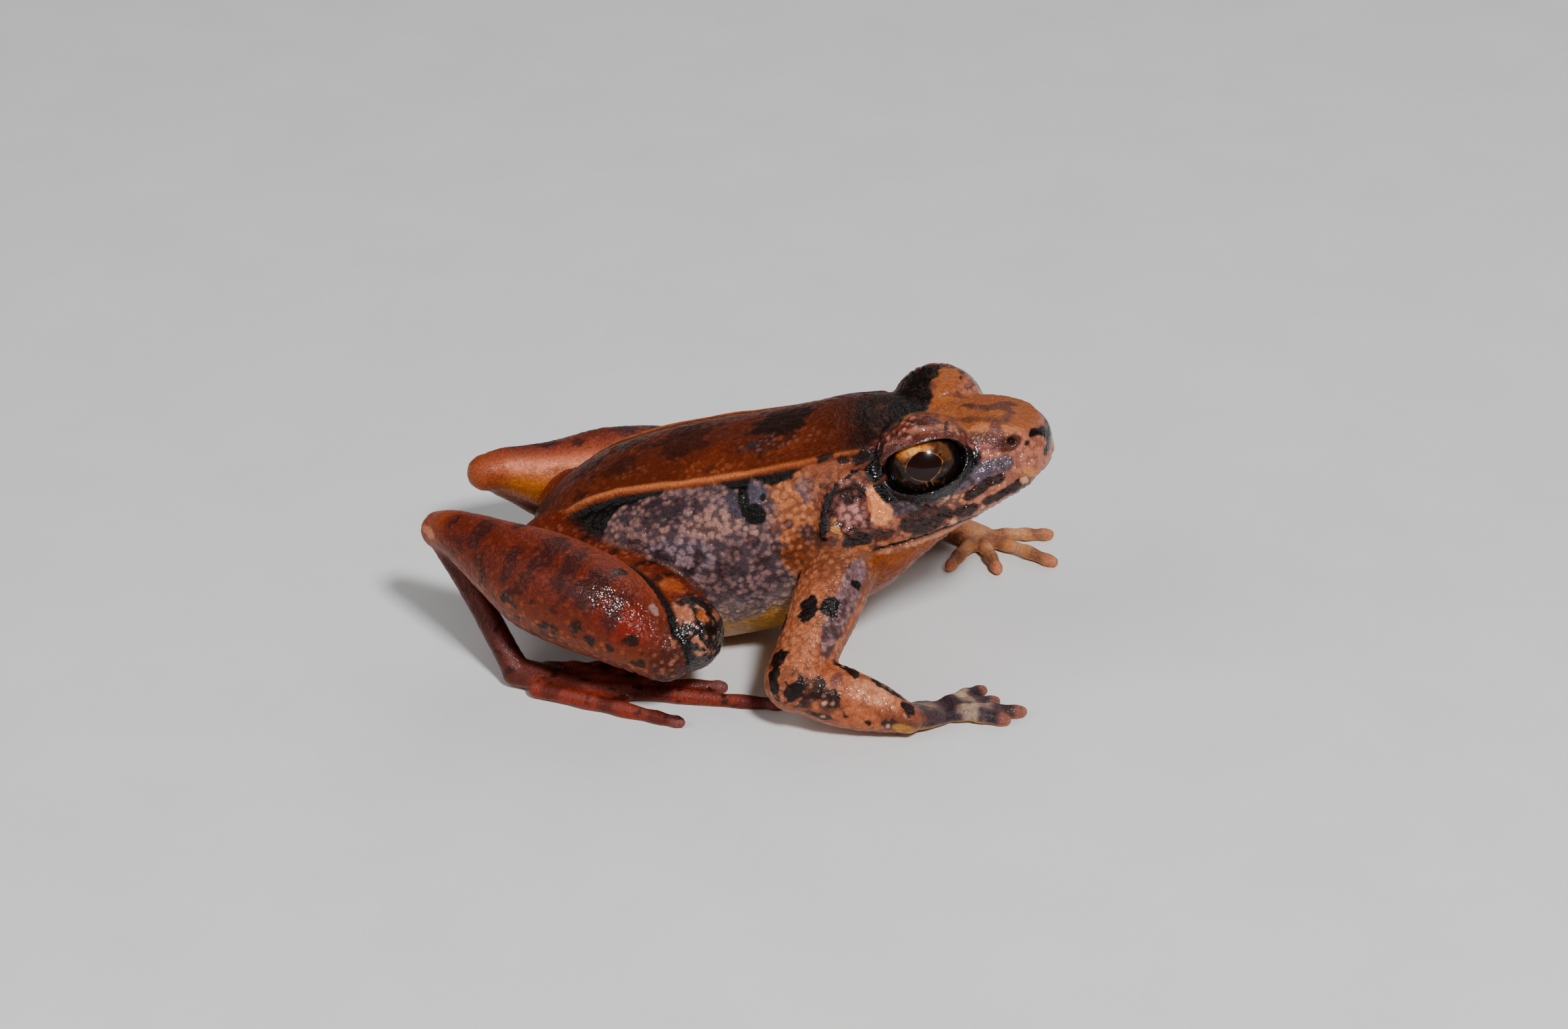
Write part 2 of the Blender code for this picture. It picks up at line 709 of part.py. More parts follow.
def main():
    clear_scene()
    frog = bpy.data.objects.new("frog", None)
    bpy.context.scene.collection.objects.link(frog)
    body = make_body("body")
    plain_body = copy_of(body, "plain_body")
    add_folds(body)
    torso = make_torso(body)
    head, jaw, eyes, eardrums = make_head(body)
    slots = {torso: "back_skin", head: "head_skin", jaw: "throat_skin"}
    slots.update({eye: "eye" for eye in eyes})
    slots.update({eardrum: "eardrum_skin" for eardrum in eardrums})
    for side in SIDE_SIGN:
        slots.update({piece: "arm_skin" for piece in make_arm(side, plain_body)})
        slots.update({piece: "leg_skin" for piece in make_leg(side, plain_body)})
    for spare in (body, plain_body):
        bpy.data.objects.remove(spare)
    for node, slot in slots.items():
        finish_node(node, slot, frog)


main()
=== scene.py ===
"""The living look of a smooth guardian frog: its wet, granular skin, its eyes, the floor and the light.

The skin is one closed surface over the whole frog. It is built in millimetres in the frog's own space,
like the solids, and is moved to metres as it is finished.
"""

import math

import bpy
import numpy as np
from mathutils import Matrix, Vector


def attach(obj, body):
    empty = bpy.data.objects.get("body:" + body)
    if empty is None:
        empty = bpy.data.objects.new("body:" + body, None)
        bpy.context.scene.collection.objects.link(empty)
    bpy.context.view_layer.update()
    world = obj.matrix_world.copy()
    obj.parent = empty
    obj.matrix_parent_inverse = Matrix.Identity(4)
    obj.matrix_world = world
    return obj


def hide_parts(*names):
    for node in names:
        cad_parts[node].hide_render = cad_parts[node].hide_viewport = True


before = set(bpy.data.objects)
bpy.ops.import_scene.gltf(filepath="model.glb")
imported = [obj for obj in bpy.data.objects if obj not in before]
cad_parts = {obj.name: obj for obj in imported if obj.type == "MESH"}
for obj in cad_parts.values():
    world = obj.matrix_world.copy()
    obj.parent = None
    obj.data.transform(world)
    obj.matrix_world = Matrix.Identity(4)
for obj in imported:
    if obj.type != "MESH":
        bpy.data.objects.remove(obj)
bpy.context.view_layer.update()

MM = 0.001
FOOTPRINT_MIDDLE = np.array((-3.442, 0.752, 0.0))
SIDE_SIGN = {"right": -1, "left": 1}
UP = np.array((0, 0, 1.0))

# The grid that the skin is built on, in millimetres, and the passes that round its inner corners.
VOXEL = 0.1
FILLET_PASSES = 55

# The camera of the photograph.
CAMERA_AZIMUTH = math.radians(10)
CAMERA_ELEVATION = math.radians(28)
CAMERA_DISTANCE = 238
CAMERA_LENS = 90
VIEW_CENTRE = (8.0, -11.0, 0.0)
VIEW_SHIFT = (-6.72, 13.16)

# The body frame, as in the solids: under the tip of the snout, level with the mouth, pitched up.
BODY_PITCH = math.radians(18)
ALONG = np.array((math.cos(BODY_PITCH), 0, math.sin(BODY_PITCH)))
ABOVE = np.array((-math.sin(BODY_PITCH), 0, math.cos(BODY_PITCH)))
MOUTH_FRONT = np.array((15.75, 0, 13.04))

# Forward, top, level of the widest part, bottom, half width.
BODY_STATIONS = [
    (0.72, 2.45, 2.10, 1.75, 0.50),
    (0.48, 3.15, 1.70, 0.85, 1.40),
    (-0.15, 3.85, 1.20, 0.35, 2.20),
    (-1.20, 4.45, 0.75, -0.15, 3.00),
    (-2.60, 4.90, 0.55, -0.65, 3.70),
    (-4.50, 5.30, 0.50, -1.25, 4.50),
    (-6.50, 5.75, 0.45, -2.00, 5.15),
    (-9.00, 6.45, 0.50, -3.35, 5.75),
    (-11.60, 6.95, 0.60, -4.90, 6.05),
    (-14.20, 6.95, 0.75, -5.70, 6.05),
    (-17.00, 6.95, 0.90, -6.00, 6.45),
    (-20.00, 7.00, 0.80, -6.10, 7.05),
    (-23.70, 7.05, 0.60, -5.80, 7.25),
    (-27.00, 6.80, 0.80, -4.90, 6.80),
    (-29.60, 6.20, 1.20, -3.70, 5.60),
    (-31.40, 5.30, 1.80, -2.20, 4.10),
    (-32.50, 4.50, 2.20, -0.50, 2.60),
    (-33.05, 3.60, 2.70, 1.70, 0.90),
]
BODY_RINGS = 170
BODY_SIDES = 128
SNOUT_SQUARENESS = 3.0
BACK_SQUARENESS = 2.35
JAW_SQUARENESS = 1.45
BELLY_SQUARENESS = 2.05
JAW_LENGTH = 10

EYE = (-6.45, 3.35, 3.9)
EYE_AXIS = (0.22, 0.95, 0.18)
EYE_RADIUS = 2.35
# Radii forward, up and along the eye's axis, and how far out the opening's middle lies.
LID_DOME = (3.0, 2.87, 2.95)
LID_OPENING = (3.1, 1.52, 2.3)
LID_OPENING_OUT = 2.35
EARDRUM = (-11.05, 5.95, 2.75)
NOSTRIL = (-1.25, 2.15, 3.3)

# Lines on one side of the body: the two skin folds, the ridge from eye to nostril, the hollow under it.
BACK_FOLD = [
    (-9.4, 3.95, 5.55), (-13.0, 4.25, 5.75), (-17.0, 4.4, 5.8), (-21.0, 4.4, 5.95), (-25.0, 3.9, 6.0),
    (-28.5, 3.6, 5.45), (-30.6, 3.2, 4.1),
]
EAR_FOLD = [(-8.6, 4.95, 4.3), (-10.7, 5.15, 4.65), (-12.2, 5.6, 3.8), (-12.8, 5.95, 2.8), (-13.05, 6.0, 1.6)]
CANTHUS = [(-4.0, 3.7, 5.1), (-2.9, 2.4, 4.6), (-1.4, 2.0, 4.05), (-0.5, 1.8, 3.6)]
LOREAL_HOLLOW = [(-4.4, 4.2, 3.3), (-2.8, 3.3, 3.2), (-1.7, 2.8, 2.8)]

JOINTS = {
    "right": {
        "shoulder": (3.65, 5.4, 7.6), "elbow": (2.0, 11.7, 3.3), "wrist": (8.65, 11.3, 1.2),
        "hip": (-13.2, 3.4, 6.2), "knee": (-5.0, 10.4, 5.2), "ankle": (-15.9, 9.5, 1.0),
        "shank": (
            (-6.1, 11.7, 4.8), (-7.9, 11.4, 5.7), (-10.4, 10.6, 6.7), (-14.3, 9.1, 7.3),
            (-17.8, 7.4, 8.0), (-20.2, 6.1, 8.4), (-21.6, 5.1, 8.0),
        ),
        "palm_turn": -60, "finger_turns": (-50, -30, -13, -2), "foot_turn": 1,
    },
    "left": {
        "shoulder": (3.65, 5.4, 7.6), "elbow": (2.6, 11.0, 4.4), "wrist": (7.6, 14.2, 1.2),
        "hip": (-13.2, 3.4, 5.9), "knee": (-5.4, 10.4, 4.6), "ankle": (-15.9, 9.1, 1.0),
        "shank": (
            (-5.6, 11.5, 4.3), (-7.9, 11.1, 4.8), (-10.7, 10.1, 5.2), (-14.2, 8.5, 5.5),
            (-17.4, 7.0, 6.1), (-19.9, 5.8, 6.8), (-21.2, 5.0, 6.9),
        ),
        "palm_turn": -14, "finger_turns": (-108, -66, -24, 17), "foot_turn": 3,
    },
}
SHANK_RADII = (2.0, 2.5, 3.1, 3.1, 2.2, 1.5, 1.2)
KNUCKLE_DISTANCE = 2.35
FINGER_START = 0.4
FINGER_LENGTHS = (4.0, 4.0, 5.3, 4.3)
FINGER_RADIUS = 0.46
FINGER_ARCH = 0.2
FINGER_SWELLS = (
    (0, 1.1), (0.18, 0.98), (0.32, 1.1), (0.5, 0.86), (0.64, 1.06), (0.8, 0.84), (0.93, 1.0), (1, 0.8),
)
TOE_TURNS = (-19, -12, -8, -3, 11)
TOE_LENGTHS = (5.2, 7.8, 11.2, 15.0, 9.6)
TOE_ROOT_SPREAD = 0.62
TOE_RADIUS = 0.5
TOE_SWELLS = (
    (0, 1.05), (0.22, 0.92), (0.34, 1.06), (0.5, 0.84), (0.6, 1.0), (0.76, 0.8), (0.84, 0.94), (0.93, 0.78),
    (0.98, 0.9), (1, 0.72),
)
WEB_SHARE = (0.80, 0.72, 0.62, 0.46, 0.72)
WEB_NOTCH = 0.75
WEB_LEVEL = 0.3
WEB_THICKNESS = 0.24
LIMB_SIDES = 40
# The limbs that lie on other flesh, with a crease between them.
CREASED_LIMBS = ("thigh", "shank", "upper_arm", "forearm")
LIMB_CAP = np.linspace(0.25, 1.35, 5)
RIM_SIDES = 14
# Over how many millimetres the looks of neighbouring limbs run into each other.
BLEND_WIDTH = 0.16
SKIN_ROUGHNESS = 0.42
EYE_ROUGHNESS = 0.25
FLOOR_HALF_WIDTH = 1.5


def length(vectors):
    return np.linalg.norm(vectors, axis=-1)


def smooth_rows(rows, count):
    """Catmull-Rom rows through the given ones, evenly spaced along the first three columns."""
    given = np.array(rows, float)
    padded = np.vstack([2 * given[0] - given[1], given, 2 * given[-1] - given[-2]])
    fine = []
    for i in range(len(given) - 1):
        a, b, c, d = padded[i : i + 4]
        for t in np.linspace(0, 1, 24, endpoint=False):
            bend = (2 * a - 5 * b + 4 * c - d) * t**2 + (3 * b - a - 3 * c + d) * t**3
            fine.append(0.5 * (2 * b + (c - a) * t + bend))
    fine = np.array([*fine, given[-1]])
    reach = np.concatenate([[0], np.cumsum(length(np.diff(fine[:, :3], axis=0)))])
    wanted = np.linspace(0, reach[-1], count)
    return np.column_stack([np.interp(wanted, reach, column) for column in fine.T])


def body_points(points):
    """Points of the body frame in the frog's own millimetres."""
    points = np.atleast_2d(np.asarray(points, float))
    return MOUTH_FRONT + points[:, :1] * ALONG + points[:, 1:2] * np.array((0, 1, 0)) + points[:, 2:] * ABOVE


def to_body(places):
    """The frog's own millimetres back in the body frame."""
    moved = places - MOUTH_FRONT
    return np.column_stack([moved @ ALONG, moved[:, 1], moved @ ABOVE])


def mirrored(point, sign):
    return np.array((point[0], sign * point[1], point[2]), float)


def body_axes(direction):
    """Three axes in the frog's own space, the last along a direction of the body frame."""
    last = body_points([direction])[0] - MOUTH_FRONT
    last /= length(last)
    first = np.cross(ABOVE, last)
    first /= length(first)
    return np.array((first, np.cross(last, first), last))


# The middle of each eye and its axes, the last of them its line of sight.
EYES = {
    sign: (body_points([mirrored(EYE, sign)])[0], body_axes(mirrored(EYE_AXIS, sign)))
    for sign in SIDE_SIGN.values()
}


def circle(count):
    return np.linspace(0, math.tau, count, endpoint=False)


# Shells: closed surfaces, each a pair of points and faces, that overlap and are then grown together.


def outward(points, faces):
    """A shell with its faces turned outward."""
    volume = 0
    for face in faces:
        for i in range(1, len(face) - 1):
            volume += np.dot(points[face[0]], np.cross(points[face[i]], points[face[i + 1]]))
    return points, faces if volume > 0 else [tuple(reversed(face)) for face in faces]


def ring_faces(count, sides, closed=False):
    """Squares from each ring of points to the next."""
    faces = []
    for i in range(count if closed else count - 1):
        here, there = i * sides, (i + 1) % count * sides
        for j in range(sides):
            k = (j + 1) % sides
            faces.append((here + j, there + j, there + k, here + k))
    return faces


def ring_shell(rings, first_pole, last_pole):
    count, sides = len(rings), len(rings[0])
    faces = ring_faces(count, sides)
    start, last = count * sides, (count - 1) * sides
    for j in range(sides):
        k = (j + 1) % sides
        faces += [(start, j, k), (start + 1, last + k, last + j)]
    return outward(np.vstack([*rings, first_pole, last_pole]), faces)


def floored(points):
    """The points with those under the floor lifted onto it."""
    points[:, 2] = np.maximum(points[:, 2], 0)
    return points


def body_rows(count):
    return smooth_rows([(s[0], 0.25 * s[4], 0, *s[1:]) for s in BODY_STATIONS], count)[:, [0, 3, 4, 5, 6]]


def squareness(forward):
    share = np.clip(-forward / JAW_LENGTH, 0, 1)
    upper = SNOUT_SQUARENESS + (BACK_SQUARENESS - SNOUT_SQUARENESS) * share
    lower = JAW_SQUARENESS + (BELLY_SQUARENESS - JAW_SQUARENESS) * share
    return upper, lower


def body_shell():
    rise, side = np.sin(circle(BODY_SIDES)), np.cos(circle(BODY_SIDES))
    rings = []
    for forward, top, middle, bottom, half_width in body_rows(BODY_RINGS):
        upper, lower = squareness(forward)
        power = 2 / np.where(rise > 0, upper, lower)
        height = np.where(rise > 0, top - middle, middle - bottom)
        outs = half_width * np.sign(side) * np.abs(side) ** power
        ups = middle + height * np.sign(rise) * np.abs(rise) ** power
        rings.append(floored(body_points(np.column_stack([np.full(BODY_SIDES, forward), outs, ups]))))
    nose, vent = BODY_STATIONS[0], BODY_STATIONS[-1]
    front, rear = (nose[0] + 0.04, 0, nose[2]), (vent[0] - 0.2, 0, vent[2])
    return ring_shell(rings, body_points([front]), body_points([rear]))


def ball_rings(tilts, sides):
    """Rings of a ball of radius 1 round its last axis, at angles from it."""
    turns = circle(sides)
    return [
        np.column_stack([math.sin(t) * np.cos(turns), math.sin(t) * np.sin(turns), np.full(sides, math.cos(t))])
        for t in tilts
    ]


def ellipsoid_shell(centre, axes, radii):
    """An ellipsoid with its poles on the last of three axes."""
    rows = [centre + ring * radii @ axes for ring in ball_rings(np.linspace(0, math.pi, 30)[1:-1], 48)]
    return ring_shell(rows, centre + axes[2] * radii[2], centre - axes[2] * radii[2])


class Limb:
    """A round-ended limb along a smooth path, of a kind, on a side, with rows (x, y, z, across, through)."""

    def __init__(self, kind, side, stations, step=0.35, ends=None):
        self.kind, self.side, self.sign = kind, side, SIDE_SIGN[side]
        self.ends = ends or (np.array(stations[0][:3]), np.array(stations[-1][:3]))
        given = np.array([row[:3] for row in stations])
        self.path = smooth_rows(stations, max(int(length(np.diff(given, axis=0)).sum() / step), 6))

    def shell(self):
        path, last = self.path, len(self.path) - 1
        centres = path[:, :3]
        tangents = np.gradient(centres, axis=0)
        tangents /= length(tangents)[:, None]
        steep = abs(tangents[0][2]) > 0.8 or abs(tangents[last][2]) > 0.8
        turns = circle(LIMB_SIDES)

        def ring_at(i, shift, share):
            side = np.cross((1, 0, 0) if steep else (0, 0, 1), tangents[i])
            side /= length(side)
            above = np.cross(tangents[i], side)
            across = np.outer(np.cos(turns), side) * path[i][3] * share
            through = np.outer(np.sin(turns), above) * path[i][4] * share
            return floored(centres[i] + tangents[i] * shift * path[i][3] + across + through)

        rings = [ring_at(0, -math.cos(turn), math.sin(turn)) for turn in LIMB_CAP]
        rings += [ring_at(i, 0, 1) for i in range(last + 1)]
        rings += [ring_at(last, math.cos(turn), math.sin(turn)) for turn in reversed(LIMB_CAP)]
        first = floored((centres[0] - tangents[0] * path[0][3])[None])
        final = floored((centres[last] + tangents[last] * path[last][3])[None])
        return ring_shell(rings, first, final)


def station(place, across, through=None):
    return (*place, across, across if through is None else through)


def tapered(kind, side, start, end, rows, before=()):
    """A limb from joint to joint, from rows of the share of the way, across and through."""
    stations = [station(between(start, end, share), *girth) for share, *girth in rows]
    return Limb(kind, side, [*before, *stations], ends=(start, end))


def turned(degrees, sign):
    """A level direction, turned outward from straight ahead."""
    return np.array((math.cos(math.radians(degrees)), sign * math.sin(math.radians(degrees)), 0))


def between(a, b, share):
    return a + (b - a) * share


def arm_limbs(side):
    sign, joints = SIDE_SIGN[side], JOINTS[side]
    shoulder, elbow, wrist = (mirrored(joints[k], sign) for k in ("shoulder", "elbow", "wrist"))
    ahead = turned(joints["palm_turn"], sign)
    floor = wrist * (1, 1, 0)
    knuckles = floor + ahead * KNUCKLE_DISTANCE
    root = station(shoulder + (0.3, -sign * 1.8, 0.5), 2.15)
    palm = [
        station(wrist, 0.88, 0.8),
        station(floor + UP * 0.75 + ahead * 1.1, 1.25, 0.72),
        station(knuckles + UP * 0.45, 1.5, 0.55),
    ]
    forearm_rows = ((0.05, 1.72), (0.32, 1.86), (0.55, 1.7), (0.78, 1.42), (1, 1.1, 0.95))
    limbs = [
        tapered("upper_arm", side, shoulder, elbow, ((0, 2.15), (0.3, 2.12), (0.6, 1.98), (1, 1.9)), [root]),
        tapered("forearm", side, elbow, wrist, forearm_rows),
        Limb("palm", side, palm),
    ]
    for turn, long in zip(joints["finger_turns"], FINGER_LENGTHS):
        away = turned(turn, sign)
        start = knuckles + away * FINGER_START
        stations = [station(start - away * 1.0 + UP * 0.45, FINGER_RADIUS * 0.9)]
        for share, swell in FINGER_SWELLS:
            height = FINGER_RADIUS * 0.8 + FINGER_ARCH * max(math.sin(math.pi * (share + 0.05)), 0)
            stations.append(station(start + away * long * share + UP * height, FINGER_RADIUS * swell))
        limbs.append(Limb("finger", side, stations, 0.16))
    return limbs


def leg_limbs(side):
    """The leg's limbs and the web of its foot."""
    sign, joints = SIDE_SIGN[side], JOINTS[side]
    hip, knee, ankle = (mirrored(joints[k], sign) for k in ("hip", "knee", "ankle"))
    shank_path = [mirrored(place, sign) for place in joints["shank"]]
    heel = shank_path[-1]
    ahead, across = turned(joints["foot_turn"], sign), turned(joints["foot_turn"] + 90, sign)
    floor = ankle * (1, 1, 0)
    root = station(hip - (1.3, 0, 0.2), 2.7)
    sole = [
        station(floor + UP * 0.9, 0.88),
        station(floor + ahead * 1.8 + UP * 0.62, 1.25, 0.72),
        station(floor + ahead * 3.6 + UP * 0.42, 1.5, 0.55),
    ]
    limbs = [
        tapered("thigh", side, hip, knee, ((0, 3.0), (0.5, 2.75), (0.85, 2.55), (1, 2.35)), [root]),
        Limb("shank", side, [station(*pair) for pair in zip(shank_path, SHANK_RADII)]),
        tapered("tarsus", side, heel, ankle, ((0.04, 1.0), (0.35, 0.8), (0.75, 0.8), (1, 0.85))),
        Limb("sole", side, sole),
    ]
    roots, webbed = [], []
    for i, (toe_turn, long) in enumerate(zip(TOE_TURNS, TOE_LENGTHS)):
        away = turned(joints["foot_turn"] + toe_turn, sign)
        start = floor + ahead * 1.6 + across * (i - 2) * TOE_ROOT_SPREAD
        stations = []
        for share, swell in TOE_SWELLS:
            height = TOE_RADIUS * 0.8 + 0.1 * math.cos(math.pi * share)
            stations.append(station(start + away * long * share + UP * height, TOE_RADIUS * swell))
        limbs.append(Limb("toe", side, stations, 0.16))
        roots.append(start)
        webbed.append(start + away * long * WEB_SHARE[i])
    return limbs, web_shell(roots, webbed)


def web_shell(roots, tips):
    """A thin plate between the toes whose edge curves in from one toe to the next."""
    edge = [tips[0]]
    for i in range(len(roots) - 1):
        hollow = between((roots[i] + roots[i + 1]) / 2, (tips[i] + tips[i + 1]) / 2, WEB_NOTCH)
        for share in np.linspace(0, 1, 9)[1:-1]:
            edge.append(between(between(tips[i], tips[i + 1], share), hollow, 1 - (2 * share - 1) ** 2))
        edge.append(tips[i + 1])
    outline = np.array([roots[0], *edge, roots[-1]])
    count = len(outline)
    flat = np.vstack([outline, outline.mean(0)]) * (1, 1, 0)
    under, over = flat + UP * (WEB_LEVEL - WEB_THICKNESS / 2), flat + UP * (WEB_LEVEL + WEB_THICKNESS / 2)
    faces = []
    for j in range(count):
        k = (j + 1) % count
        faces += [(j, k, count + k, count + j), (2 * count, k, j), (2 * count + 1, count + j, count + k)]
    return outward(np.vstack([under[:-1], over[:-1], under[-1:], over[-1:]]), faces)


def opening_tilt(turn):
    """The angle from the eye's axis at which the lids' edge lies, at a turn round the eye."""
    low, high = 0.1, 1.5
    for _ in range(30):
        tilt = (low + high) / 2
        side = EYE_RADIUS * math.sin(tilt)
        spot = (side * math.cos(turn), side * math.sin(turn), EYE_RADIUS * math.cos(tilt) - LID_OPENING_OUT)
        inside = sum((a / b) ** 2 for a, b in zip(spot, LID_OPENING)) < 1
        low, high = (tilt, high) if inside else (low, tilt)
    return low


def lid_rim_shell(centre, sight):
    """The rounded edge of the lids, a closed tube round the opening, fuller above the eye."""
    rings = []
    tube = circle(RIM_SIDES)
    for turn in circle(90):
        upward, tilt = math.sin(turn), opening_tilt(turn)
        radius = 0.13 + 0.12 * max(upward, 0) ** 2 + 0.12 * max(-upward, 0)
        aside = sight[0] * math.cos(turn) + sight[1] * upward
        direction = sight[2] * math.cos(tilt) + aside * math.sin(tilt)
        outside = aside * math.cos(tilt) - sight[2] * math.sin(tilt)
        middle = centre + direction * (EYE_RADIUS + 0.04) + outside * radius * 0.95
        tube_way = np.outer(np.cos(tube), direction) + np.outer(np.sin(tube), outside)
        rings.append(middle + tube_way * radius)
    return outward(np.vstack(rings), ring_faces(len(rings), RIM_SIDES, closed=True))


def mesh_object(name, points, faces):
    mesh = bpy.data.meshes.new(name)
    mesh.from_pydata(points, [], faces)
    made = bpy.data.objects.new(name, mesh)
    bpy.context.scene.collection.objects.link(made)
    return made


def applied(thing):
    """The object's mesh with its modifiers applied; the object is removed."""
    graph = bpy.context.evaluated_depsgraph_get()
    mesh = bpy.data.meshes.new_from_object(thing.evaluated_get(graph))
    bpy.data.objects.remove(thing)
    return mesh


def read(items, name, width, kind=float):
    """A property of a mesh's points, edges or corners as rows of numbers."""
    values = np.empty(len(items) * width, kind)
    items.foreach_get(name, values)
    return values.reshape(-1, width)


def carved(shell, *cutters):
    """The shell with other shells cut out of it."""
    for cutter in cutters:
        thing, tool = mesh_object("carved", *shell), mesh_object("cutter", *cutter)
        step = thing.modifiers.new("Carve", "BOOLEAN")
        step.operation, step.solver, step.object = "DIFFERENCE", "MANIFOLD", tool
        mesh = applied(thing)
        shell = read(mesh.vertices, "co", 3), [tuple(face.vertices) for face in mesh.polygons]
        bpy.data.objects.remove(tool)
    return shell


def grown_together(shells):
    """All the shells as one surface of small even squares."""
    points, faces, start = [], [], 0
    for shell_points, shell_faces in shells:
        points.append(shell_points)
        faces += [tuple(start + i for i in face) for face in shell_faces]
        start += len(shell_points)
    thing = mesh_object("grown", np.vstack(points), faces)
    step = thing.modifiers.new("Grow", "REMESH")
    step.mode, step.voxel_size, step.adaptivity = "VOXEL", VOXEL, 0
    return applied(thing)


class Surface:
    """Points, faces and neighbours of the skin, with the passes that shape it."""

    def __init__(self, mesh):
        self.points = read(mesh.vertices, "co", 3)
        self.faces = read(mesh.loops, "vertex_index", 1, int).reshape(-1, 4)
        edges = read(mesh.edges, "vertices", 2, int)
        self.others = edges[:, ::-1].ravel()[np.argsort(edges.ravel(), kind="stable")]
        self.degree = np.bincount(edges.ravel(), minlength=len(self.points))[:, None]
        self.starts = np.concatenate([[0], np.cumsum(self.degree)[:-1]])

    def mean_round(self):
        """The mean of each point's neighbours."""
        return np.add.reduceat(self.points[self.others], self.starts, axis=0) / self.degree

    def normals(self):
        a, b, c, d = (self.points[self.faces[:, i]] for i in range(4))
        across = np.cross(c - a, d - b)
        total = np.zeros_like(self.points)
        for axis in range(3):
            for corner in range(4):
                total[:, axis] += np.bincount(self.faces[:, corner], across[:, axis], len(self.points))
        return total / np.maximum(length(total), 1e-12)[:, None]

    def smooth(self, passes):
        for _ in range(passes):
            self.points += 0.5 * (self.mean_round() - self.points)

    def fillet(self, passes, share):
        """Raises the inner corners and leaves what swells outward alone."""
        for i in range(passes):
            if i % 6 == 0:
                normals = self.normals()
            lift = ((self.mean_round() - self.points) * normals).sum(1)
            self.points += (0.5 * np.maximum(lift, 0) * share)[:, None] * normals

    def push(self, amount):
        """Moves the points out along their normals."""
        self.points += self.normals() * amount[:, None]
        floored(self.points)


# Noise, worked out on the points of the skin.


def hashed(cells, seed):
    """A repeatable value from 0 to 1 for each cell of a grid."""
    mixed = cells[..., 0] * 73856093 ^ cells[..., 1] * 19349663 ^ cells[..., 2] * 83492791 ^ seed * 2654435761
    mixed &= 0xFFFFFFFF
    mixed = (mixed ^ (mixed >> 16)) * 0x45D9F3B & 0xFFFFFFFF
    mixed = (mixed ^ (mixed >> 16)) * 0x45D9F3B & 0xFFFFFFFF
    return ((mixed ^ (mixed >> 16)) & 0xFFFFFF) / 0xFFFFFF


def noise(places, size, seed):
    """Smooth noise from -1 to 1 with lumps of a size in millimetres."""
    scaled = places / size + 1000.0
    cells = np.floor(scaled).astype(np.int64)
    part = scaled - cells
    part = part * part * (3 - 2 * part)
    total = np.zeros(len(places))
    for corner in range(8):
        step = np.array((corner & 1, corner >> 1 & 1, corner >> 2 & 1))
        weight = np.prod(np.where(step, part, 1 - part), axis=1)
        total += weight * hashed(cells + step, seed)
    return total * 2 - 1


def rough_noise(places, size, seed):
    total = sum(noise(places, size / 2**i, seed + 17 * i) / 1.8**i for i in range(3))
    return total / sum(1 / 1.8**i for i in range(3)) * 1.6


def granules(places, size, seed):
    """For each place, the distance to the middle of its granule in sizes, and that granule's own value."""
    scaled = places / size + 1000.0
    cells = np.floor(scaled).astype(np.int64)
    nearest, value = np.full(len(places), 9.0), np.zeros(len(places))
    for corner in range(27):
        cell = cells + (corner // 9 - 1, corner // 3 % 3 - 1, corner % 3 - 1)
        spot = np.column_stack([hashed(cell, seed + k) for k in range(3)])
        gap = length(cell + spot - scaled)
        closer = gap < nearest
        nearest[closer] = gap[closer]
        value[closer] = hashed(cell[closer], seed + 5)
    return nearest, value


def ramp(values, low, high):
    """0 below low, 1 above high, smooth between; low may be the larger."""
    share = np.clip((values - low) / (high - low), 0, 1)
    return share * share * (3 - 2 * share)


def bump(values, width):
    return np.exp(-((values / width) ** 2))


def along_path(places, path, girths):
    """For each place: how far outside a path of given radii it lies, and how far along, from 0 to 1."""
    gap, share = np.full(len(places), 99.0), np.zeros(len(places))
    for i in range(len(path) - 1):
        step = path[i + 1] - path[i]
        part = np.clip((places - path[i]) @ step / (step @ step), 0, 1)
        girth = girths[i] + (girths[i + 1] - girths[i]) * part
        beyond = length(places - path[i] - part[:, None] * step) - girth
        closer = beyond < gap
        gap[closer] = beyond[closer]
        share[closer] = (i + part[closer]) / (len(path) - 1)
    return gap, share


def path_distance(places, path, count):
    return along_path(places, smooth_rows(path, count), np.zeros(count))[0]


# What each point of the skin belongs to.


def limb_field(limb, places):
    """For each place: how far outside the limb it lies, and how far along the limb."""
    path, reach = limb.path[:, :3], limb.path[:, 3].max() + 1.6
    near = ((places > path.min(0) - reach) & (places < path.max(0) + reach)).all(1)
    gap, share = np.full(len(places), 99.0), np.zeros(len(places))
    gap[near], share[near] = along_path(places[near], path, limb.path[:, 3:5].mean(1))
    return gap, share


def body_field(body):
    """How far outside the head and trunk each place of the body frame lies."""
    rows = body_rows(300)[::-1]
    forward = body[:, 0]
    top, middle, bottom, half = (np.interp(forward, rows[:, 0], rows[:, k]) for k in (1, 2, 3, 4))
    upper, lower = squareness(forward)
    above = body[:, 2] > middle
    power = np.where(above, upper, lower)
    height = np.where(above, top - middle, middle - bottom)
    ups, outs = np.abs(body[:, 2] - middle), np.abs(body[:, 1])
    size = ((outs / half) ** power + (ups / height) ** power) ** (1 / power)
    reach = np.hypot(outs, ups)
    gap = reach - reach / np.maximum(size, 1e-6)
    beyond = np.maximum(forward - rows[-1, 0], 0) + np.maximum(rows[0, 0] - forward, 0)
    return np.hypot(np.maximum(gap, 0), beyond)


def eye_distance(places):
    """How far each place lies from the middle of the nearer eye."""
    return np.minimum(*(length(places - centre) for centre, _ in EYES.values()))


